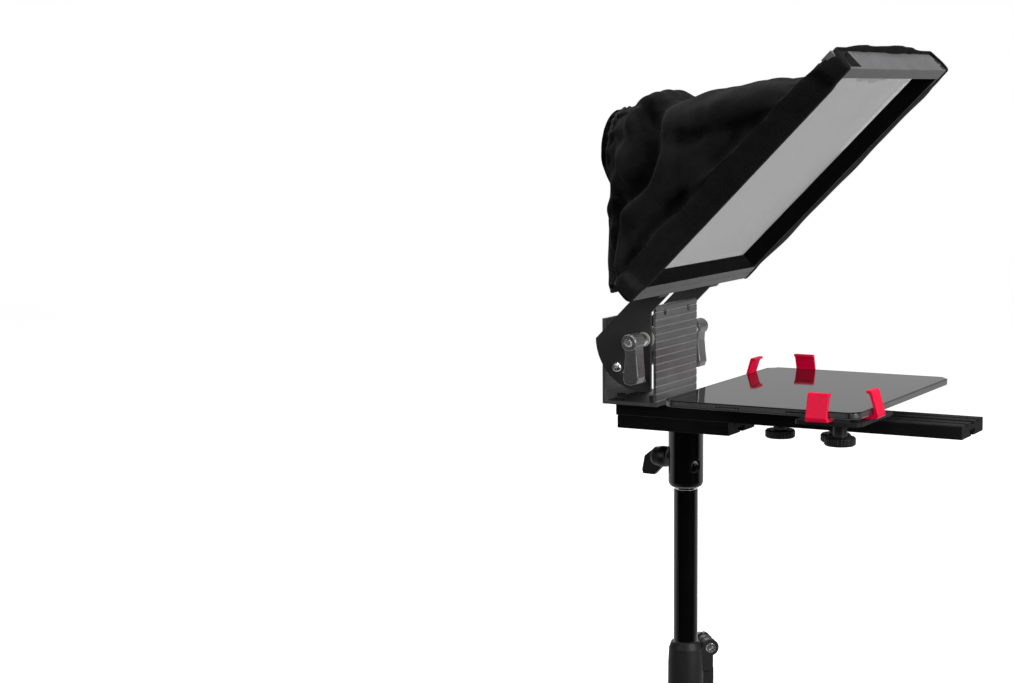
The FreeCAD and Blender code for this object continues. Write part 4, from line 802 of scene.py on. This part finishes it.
def puff_past_rails(cloth):
    """Push the cloth out past the rails, and let it sag below the bottom rail's +Y half."""
    past = ROW - FLAP
    puff = bell(past, 3.0, 3.4)
    across = cloth[FLAP, :, 1] * 1e3 / 129.0  # -1 to 1 over the width
    up = SQUARE * SIN  # -1 to 1 over the height
    top = smooth01(SIN * 3 - 1.2) * smooth01((1.0 - np.abs(across)) / 0.45)
    bottom = smooth01(-SIN * 3 - 1.2)
    crest = smooth01((0.97 - np.abs(across)) / 0.6)
    sag = bell(past, 1.0, 3.2) * 37.0 * bell(across, 0.72, 0.15)
    along_slope = (top * puff * (8.0 + 10.0 * crest + 1.6 * np.sin(across * 7.0))
                   - bottom * (puff * 3.0 + sag))
    side = smooth01(np.abs(COS) * 3 - 1.2) * smooth01((1.0 - np.abs(up)) / 0.4)
    far_puff = bell(ROW, 3.2, 1.7) + 0.45 * bell(ROW, 8.5, 4.0)
    near_puff = bell(ROW, 10.5, 5.0) * smooth01((ROW - 3.0) / 3.0)
    far_height = (smooth01((up + 0.92) / 0.3) * smooth01((0.96 - up) / 0.22)
                  * (0.78 + 0.16 * np.sin(8.5 * up + 1.0) + 0.08 * np.sin(19.0 * up)))
    along_y = np.where(COS > 0, 14.5 * far_puff * far_height, -4.2 * near_puff * side)
    along_y = along_y * (np.abs(COS) > np.abs(SIN))
    cloth[..., 0] += along_slope * DIAG * MM
    cloth[..., 2] += along_slope * DIAG * MM
    cloth[..., 1] += along_y * MM


def wave_noise(cloth, scale, seed, terms=26):
    """Smooth random field from a sum of plane waves, scale in mm."""
    random = np.random.default_rng(seed)
    field = np.zeros(cloth.shape[:2])
    points = cloth * 1e3
    for _ in range(terms):
        wave = random.normal(size=3)
        wave *= (2 * math.pi / scale) * random.uniform(0.6, 1.5) / np.linalg.norm(wave)
        field += np.sin(points @ wave + random.uniform(0, 6.28))
    return field / math.sqrt(terms / 2)


def wrinkle(cloth, relief):
    """Add the folds, random waves, pleats that die out on the cone and the sleeve's gathers."""
    normal = normals(cloth)
    relief = relief + wave_noise(cloth, 90.0, seed=3) * 1.7 + wave_noise(cloth, 40.0, seed=4) * 0.9
    relief += bell(SHARE, 0.83, 0.13) * (
        1.7 * np.sin(13 * ANGLE + 1.1 * np.sin(2 * ANGLE) + 0.6)
        + 1.1 * np.sin(21 * ANGLE + 1.7 * np.sin(3 * ANGLE)))
    cloth = cloth + normal * (relief * FREE)[..., None] * MM
    # the sleeve's mouth leans a little: its top stands out, its bottom is drawn in
    gather = smooth01((SHARE - 0.80) / 0.1)
    lean = -1.2 * (SIN > 0) * SIN + 5.0 * smooth01(-SIN * 1.4)
    cloth[..., 0] += gather * lean * MM * smooth01((SHARE - 0.9) / 0.1)
    ripple = (1.1 * np.sin(19 * ANGLE + 1.3 * np.sin(3 * ANGLE))
              + 0.7 * np.sin(31 * ANGLE + 2.0 * np.sin(2 * ANGLE + 1)))
    at_mouth = np.minimum(1.0, (ROWS - 0.5 - ROW) / 3.0)
    return cloth + normal * (gather * at_mouth * ripple * 0.8)[..., None] * MM


def hang(hood, cloth):
    """Let the cloth, a little too big for its pinned ends, buckle and hang."""
    group = hood.vertex_groups.new(name="pin")
    loose = smooth01((ROW - FLAP - 1) / 4.0) * smooth01((ROWS - 8 - ROW) / 5.0)
    pin = np.clip(1.0 - loose, 0, 1)[:, 0]
    for j in range(ROWS):
        if pin[j] > 0.001:
            group.add(list(range(j * AROUND, (j + 1) * AROUND)), float(pin[j]), "REPLACE")
    modifier = hood.modifiers.new("Cloth", "CLOTH")
    settings = modifier.settings
    settings.quality = 6
    settings.mass = 0.25
    settings.tension_stiffness = settings.compression_stiffness = 12
    settings.shear_stiffness = 6
    settings.bending_stiffness = 0.35
    settings.tension_damping = settings.compression_damping = 8
    settings.shear_damping = 8
    settings.air_damping = 2.0
    settings.vertex_group_mass = "pin"
    settings.shrink_min = settings.shrink_max = -0.035
    settings.effector_weights.gravity = 0.35
    modifier.collision_settings.use_collision = False
    modifier.collision_settings.use_self_collision = False
    modifier.point_cache.frame_start = 1
    modifier.point_cache.frame_end = 30
    scene.frame_start, scene.frame_end = 1, 30
    for step in range(1, 23):
        scene.frame_set(step)
    bpy.context.view_layer.update()
    hung = hood.evaluated_get(bpy.context.evaluated_depsgraph_get())
    flat = np.zeros(len(hung.data.vertices) * 3, np.float32)
    hung.data.vertices.foreach_get("co", flat)
    move = flat.reshape(ROWS, AROUND, 3).astype(float) - cloth
    hood.modifiers.clear()
    hood.vertex_groups.clear()
    scene.frame_set(1)
    length = np.linalg.norm(move, axis=2, keepdims=True)
    most = 0.0085  # no point moves further than this
    return cloth + move * (most * np.tanh(length / most) / np.maximum(length, 1e-9))


def soften(cloth):
    """Smooth the free cloth lightly, and the fold where the flaps leave the rails strongly."""
    for _ in range(2):
        inner = cloth[1:-1]
        beside = np.roll(cloth, 1, 1)[1:-1] + np.roll(cloth, -1, 1)[1:-1]
        average = (beside + cloth[2:] + cloth[:-2]) / 4
        share = (0.35 * np.clip(FREE[1:-1] * 1.4, 0, 1))[..., None]
        cloth[1:-1] = inner * (1 - share) + average * share
    j = np.arange(6, FLAP + 12)
    share = (0.5 * bell(j, FLAP + 1.5, 4.2))[:, None, None]
    for _ in range(22):
        cloth[j] = cloth[j] * (1 - share) + (cloth[j - 1] + cloth[j + 1]) / 2 * share


def fold_shade(cloth, valleys):
    """Painted shade for the hood's colour at each point: in valleys, on the flaps, at the mouth,
    in hollows.
    """
    beside = np.roll(cloth, 2, 1) + np.roll(cloth, -2, 1)
    middle = cloth[2:-2]
    hollow = np.zeros(cloth.shape[:2])
    bend = (cloth[4:] + cloth[:-4]) / 2 - middle + beside[2:-2] / 2 - middle
    hollow[2:-2] = (bend * normals(cloth)[2:-2]).sum(2) * 1e3
    shade = (valleys * FREE + 0.16 * smooth01((FLAP + 2.0 - ROW) / 4.0)
             + 0.8 * smooth01((SHARE - 0.88) / 0.06))
    return np.clip(shade + np.clip(hollow * 0.3, 0, 0.35) * FREE, 0, 1)


def build_hood():
    """Make the hood, and return the grid of its outer face."""
    cloth = hood_rows()
    relief, valleys = fold_relief(cloth)
    puff_past_rails(cloth)
    cloth = wrinkle(cloth, relief)
    faces = []
    for j in range(ROWS - 1):
        faces += ring_faces(j * AROUND, (j + 1) * AROUND, AROUND)
    hood = new_mesh("hood_cloth", cloth.reshape(-1, 3), faces, looks["velvet"].mat)
    cloth = hang(hood, cloth)
    soften(cloth)
    # painted shade, kept in the fold attribute for the velvet's colour
    shade = fold_shade(cloth, valleys)
    fold = hood.data.attributes.new("fold", "FLOAT", "POINT")
    fold.data.foreach_set("value", shade.reshape(-1).astype(np.float32))
    hood.data.vertices.foreach_set("co", cloth.reshape(-1).astype(np.float32))
    hood.data.update()
    thickness = hood.modifiers.new("thickness", "SOLIDIFY")
    thickness.thickness = 0.0012
    # thicken inwards, whichever way the faces point
    face_normal = Vector(hood.data.polygons[(ROWS // 2) * AROUND].normal)
    thickness.offset = -1.0 if normals(cloth)[ROWS // 2, 0] @ face_normal > 0 else 1.0
    subdivide_and_apply(hood)
    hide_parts("hood_shell")
    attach(hood, "mirror")
    return cloth


cloth = build_hood()
cloth_normals = normals(cloth)


# ------------------------------------------------------------------ hem binding and stitching
def build_hem():
    """A thin folded band on the hood's edge at the frame, between its first two rows."""
    lift = 0.0003
    verts, faces = [], []
    for i in range(AROUND):
        edge, inner, normal = cloth[0, i], cloth[1, i], cloth_normals[0, i]
        a = edge + normal * lift
        b = inner + cloth_normals[1, i] * lift
        verts += [b, (a + b) / 2 + normal * 0.00025, a, edge + (edge - inner) * 0.12,
                  edge - normal * 0.0002]
        j = (i + 1) % AROUND
        faces += [(i * 5 + k, j * 5 + k, j * 5 + k + 1, i * 5 + k + 1) for k in range(4)]
    hem = new_mesh("hood_hem_binding", verts, faces, looks["hem"].mat)
    subdivide_and_apply(hem)
    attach(hem, "mirror")


def build_stitches():
    """Separate stitches behind the binding, only where the cloth lies on the side rails."""
    pitch, stitch = 0.0042, 0.62  # stitch: share of the pitch that it covers
    radii = (0.00016, 0.00028, 0.00016)
    bulge, sides = 0.00025, 6
    verts, faces = [], []
    for side in (-1, 1):
        columns = [i for i in range(AROUND)
                   if np.sign(COS[i]) == side and abs(COS[i]) > abs(SIN[i]) * 1.02]
        columns.sort(key=lambda i: SIN[i])
        line = np.array([cloth[4, i] * 0.4 + cloth[5, i] * 0.6 + cloth_normals[5, i] * 0.0004
                         for i in columns])
        gaps = np.linalg.norm(np.diff(line, axis=0), axis=1)
        run = np.concatenate([[0], np.cumsum(gaps)])
        k = 0
        while (k + stitch) * pitch < run[-1]:
            points = [np.array([np.interp((k + part) * pitch, run, line[:, c]) for c in range(3)])
                      for part in (0, stitch / 2, stitch)]
            points[1] = points[1] + np.array([0, side * bulge, 0])
            first = len(verts)
            ahead = Vector(points[2] - points[0]).normalized()
            across = ahead.cross(Vector((0, 1, 0))).normalized()
            other = ahead.cross(across)
            for point, radius in zip(points, radii):
                verts += ring_points(Vector(point), across, other, radius, sides)
            for q in range(2):
                faces += ring_faces(first + q * sides, first + (q + 1) * sides, sides)
            k += 1
    stitches = new_mesh("hood_hem_stitches", verts, faces, looks["thread"].mat)
    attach(stitches, "mirror")


# ------------------------------------------------------------------ drawcord
def build_cord_ring():
    """The cord round the sleeve, half sunk in the cloth's gathers."""
    row = ROWS - 5
    points = cloth[row] + cloth_normals[row] * 0.0013
    points[:, 0] = -0.0592 + 0.0005 * np.sin(5 * ANGLE)
    cord = tube("hood_cord", points, 0.00125, looks["cord"].mat, closed=True)
    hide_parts("hood_drawcord")
    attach(cord, "mirror")


def build_cord_tail(letter, side):
    """One of two tails that run through the lock along +Y, hang down and end in a knot."""
    low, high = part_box("cord_lock")
    lock = (low + high) / 2
    entry = low.y - 0.0022
    # offset from the lock's centre in x, y, offset from its centre in z
    path = np.array([
        (0.0002, entry - 0.0016, side * 0.005), (0, entry, side * 0.0022),
        (0, low.y + 0.001, side * 0.0012), (0, high.y - 0.001, side * 0.0012),
        (0, high.y + 0.006, side * 0.002), (-0.001, high.y + 0.013, -0.004 + side * 0.004),
        (-0.002, high.y + 0.017, -0.014 + side * 0.005),
        (-0.003, high.y + 0.018, -0.028 + side * 0.006)]) + (lock.x, 0, lock.z)
    fine = [start + (end - start) * q / 5 for start, end in zip(path[:-1], path[1:])
            for q in range(5)]
    fine = np.array(fine + [path[-1]])
    for _ in range(4):
        fine[1:-1] = (fine[:-2] + 2 * fine[1:-1] + fine[2:]) / 4
    tail = tube("hood_cord_tail_" + letter, fine, 0.00105, looks["cord"].mat,
                taper=lambda share: 1.0 + 0.9 * math.exp(-(((share - 0.965) / 0.018) ** 2)))
    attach(tail, "mirror")


build_hem()
build_stitches()
build_cord_ring()
build_cord_tail("a", -1)
build_cord_tail("b", 1)


# ------------------------------------------------------------------ floor
def floor_finish():
    """Pale floor: lit behind the object, in shade on the camera's side, even to the camera."""
    tree = Tree("pale_floor", (0.88, 0.88, 0.88), rough=0.65, spec=0.1)
    tree.drive("Base Color", tree.mix(tree.remap(tree.noise(3.0, 3.0), 0.3, 0.7),
                                      (0.87, 0.87, 0.87), (0.9, 0.9, 0.9)))
    rays = tree.node("LightPath")
    axes = tree.axes()
    depth = tree.plus(tree.times(axes[0], AWAY.x), tree.times(axes[1], AWAY.y))
    near = tree.remap(depth, -0.25, 0.45, 0.01, 0.74)
    far = tree.remap(depth, 2.4, 4.6, 1.0, 0.66)
    glow = tree.times(near, far)
    to_camera = tree.node("Emission")
    to_others = tree.node("Emission")
    add = tree.node("AddShader")
    pick = tree.node("MixShader")
    tree.set(to_camera, {"Color": (1, 1, 1, 1), "Strength": 0.86})
    tree.set(to_others, {"Color": (1, 1, 1, 1)})
    # the glow is seen whole in mirrors, and weaker as light on the object
    mirrored = tree.remap(rays.outputs["Is Glossy Ray"], 0.0, 1.0, 0.22, 1.0)
    tree.link(tree.times(glow, mirrored), to_others.inputs["Strength"])
    tree.link(tree.bsdf.outputs[0], add.inputs[0])
    tree.link(to_camera.outputs[0], add.inputs[1])
    tree.link(rays.outputs["Is Camera Ray"], pick.inputs[0])
    tree.link(to_others.outputs[0], pick.inputs[1])
    tree.link(add.outputs[0], pick.inputs[2])
    tree.link(pick.outputs[0], tree.out.inputs[0])
    return tree


def build_floor():
    """A level floor that sweeps up into a wall behind the object."""
    bend_start, bend = 4.2, 1.8
    profile = [(-4.0, 0.0), (0.0, 0.0), (bend_start, 0.0)]
    profile += [(bend_start + bend * math.sin(a), bend - bend * math.cos(a))
                for a in np.linspace(0.15, math.pi / 2, 10)]
    profile.append((bend_start + bend, 6.0))
    stations = (-7.0, -3.5, 0.0, 3.5, 7.0)
    verts = [AWAY * depth + RIGHT * across + Vector((0, 0, z))
             for across in stations for depth, z in profile]
    count = len(profile)
    faces = [(i * count + j, i * count + j + 1, (i + 1) * count + j + 1, (i + 1) * count + j)
             for i in range(len(stations) - 1) for j in range(count - 1)]
    new_mesh("studio_floor", verts, faces, floor_finish().mat)


# ------------------------------------------------------------------ light and camera
def build_world():
    """White to the camera, a weak fill for everything else."""
    world = bpy.data.worlds.new("studio")
    scene.world = world
    world.use_nodes = True
    graph = world.node_tree
    graph.nodes.clear()
    out = graph.nodes.new("ShaderNodeOutputWorld")
    backdrop = graph.nodes.new("ShaderNodeBackground")
    fill = graph.nodes.new("ShaderNodeBackground")
    backdrop.inputs["Color"].default_value = (1, 1, 1, 1)
    fill.inputs["Color"].default_value = (1, 1, 1, 1)
    fill.inputs["Strength"].default_value = 0.07
    pick = graph.nodes.new("ShaderNodeMixShader")
    rays = graph.nodes.new("ShaderNodeLightPath")
    graph.links.new(rays.outputs["Is Camera Ray"], pick.inputs[0])
    graph.links.new(fill.outputs[0], pick.inputs[1])
    graph.links.new(backdrop.outputs[0], pick.inputs[2])
    graph.links.new(pick.outputs[0], out.inputs[0])


def softbox(name, place, width, height, power):
    """A rectangular lamp aimed at the middle of the object."""
    target = Vector((0.06, 0.0, 0.5))
    lamp = bpy.data.lights.new(name, "AREA")
    lamp.shape = "RECTANGLE"
    lamp.size, lamp.size_y = width, height
    lamp.energy = power
    lamp.spread = math.radians(150)
    holder = bpy.data.objects.new(name, lamp)
    holder.location = place
    holder.rotation_euler = (target - Vector(place)).to_track_quat("-Z", "Y").to_euler()
    scene.collection.objects.link(holder)


def build_camera():
    data = bpy.data.cameras.new("camera")
    data.sensor_fit = "HORIZONTAL"
    data.sensor_width = 36.0
    data.lens = 74.496923
    data.clip_start, data.clip_end = 0.05, 50
    camera = bpy.data.objects.new("camera", data)
    pitch, roll = math.radians(6.663), math.radians(-0.485)
    look = Vector((-math.sin(CAMERA_YAW) * math.cos(pitch),
                   math.cos(CAMERA_YAW) * math.cos(pitch), -math.sin(pitch)))
    up = RIGHT.cross(look)
    rolled_right = RIGHT * math.cos(roll) + up * math.sin(roll)
    rolled_up = up * math.cos(roll) - RIGHT * math.sin(roll)
    turn = Matrix((rolled_right, rolled_up, -look)).transposed()
    camera.matrix_world = Matrix.Translation((0.79884, -1.75494, 0.65676)) @ turn.to_4x4()
    scene.collection.objects.link(camera)
    scene.camera = camera


build_floor()
build_world()
softbox("key_top", place=(0.55, -0.35, 2.5), width=1.6, height=1.6, power=26)
softbox("key_right", place=(2.6, -0.7, 1.3), width=1.1, height=1.6, power=38)
softbox("fill_left", place=(-0.9, -2.6, 1.2), width=1.2, height=1.4, power=7)
softbox("rim_back", place=(-1.4, 1.6, 1.8), width=0.8, height=1.6, power=12)
build_camera()
scene.view_settings.view_transform = "Standard"
scene.view_settings.look = "None"

bpy.context.view_layer.update()
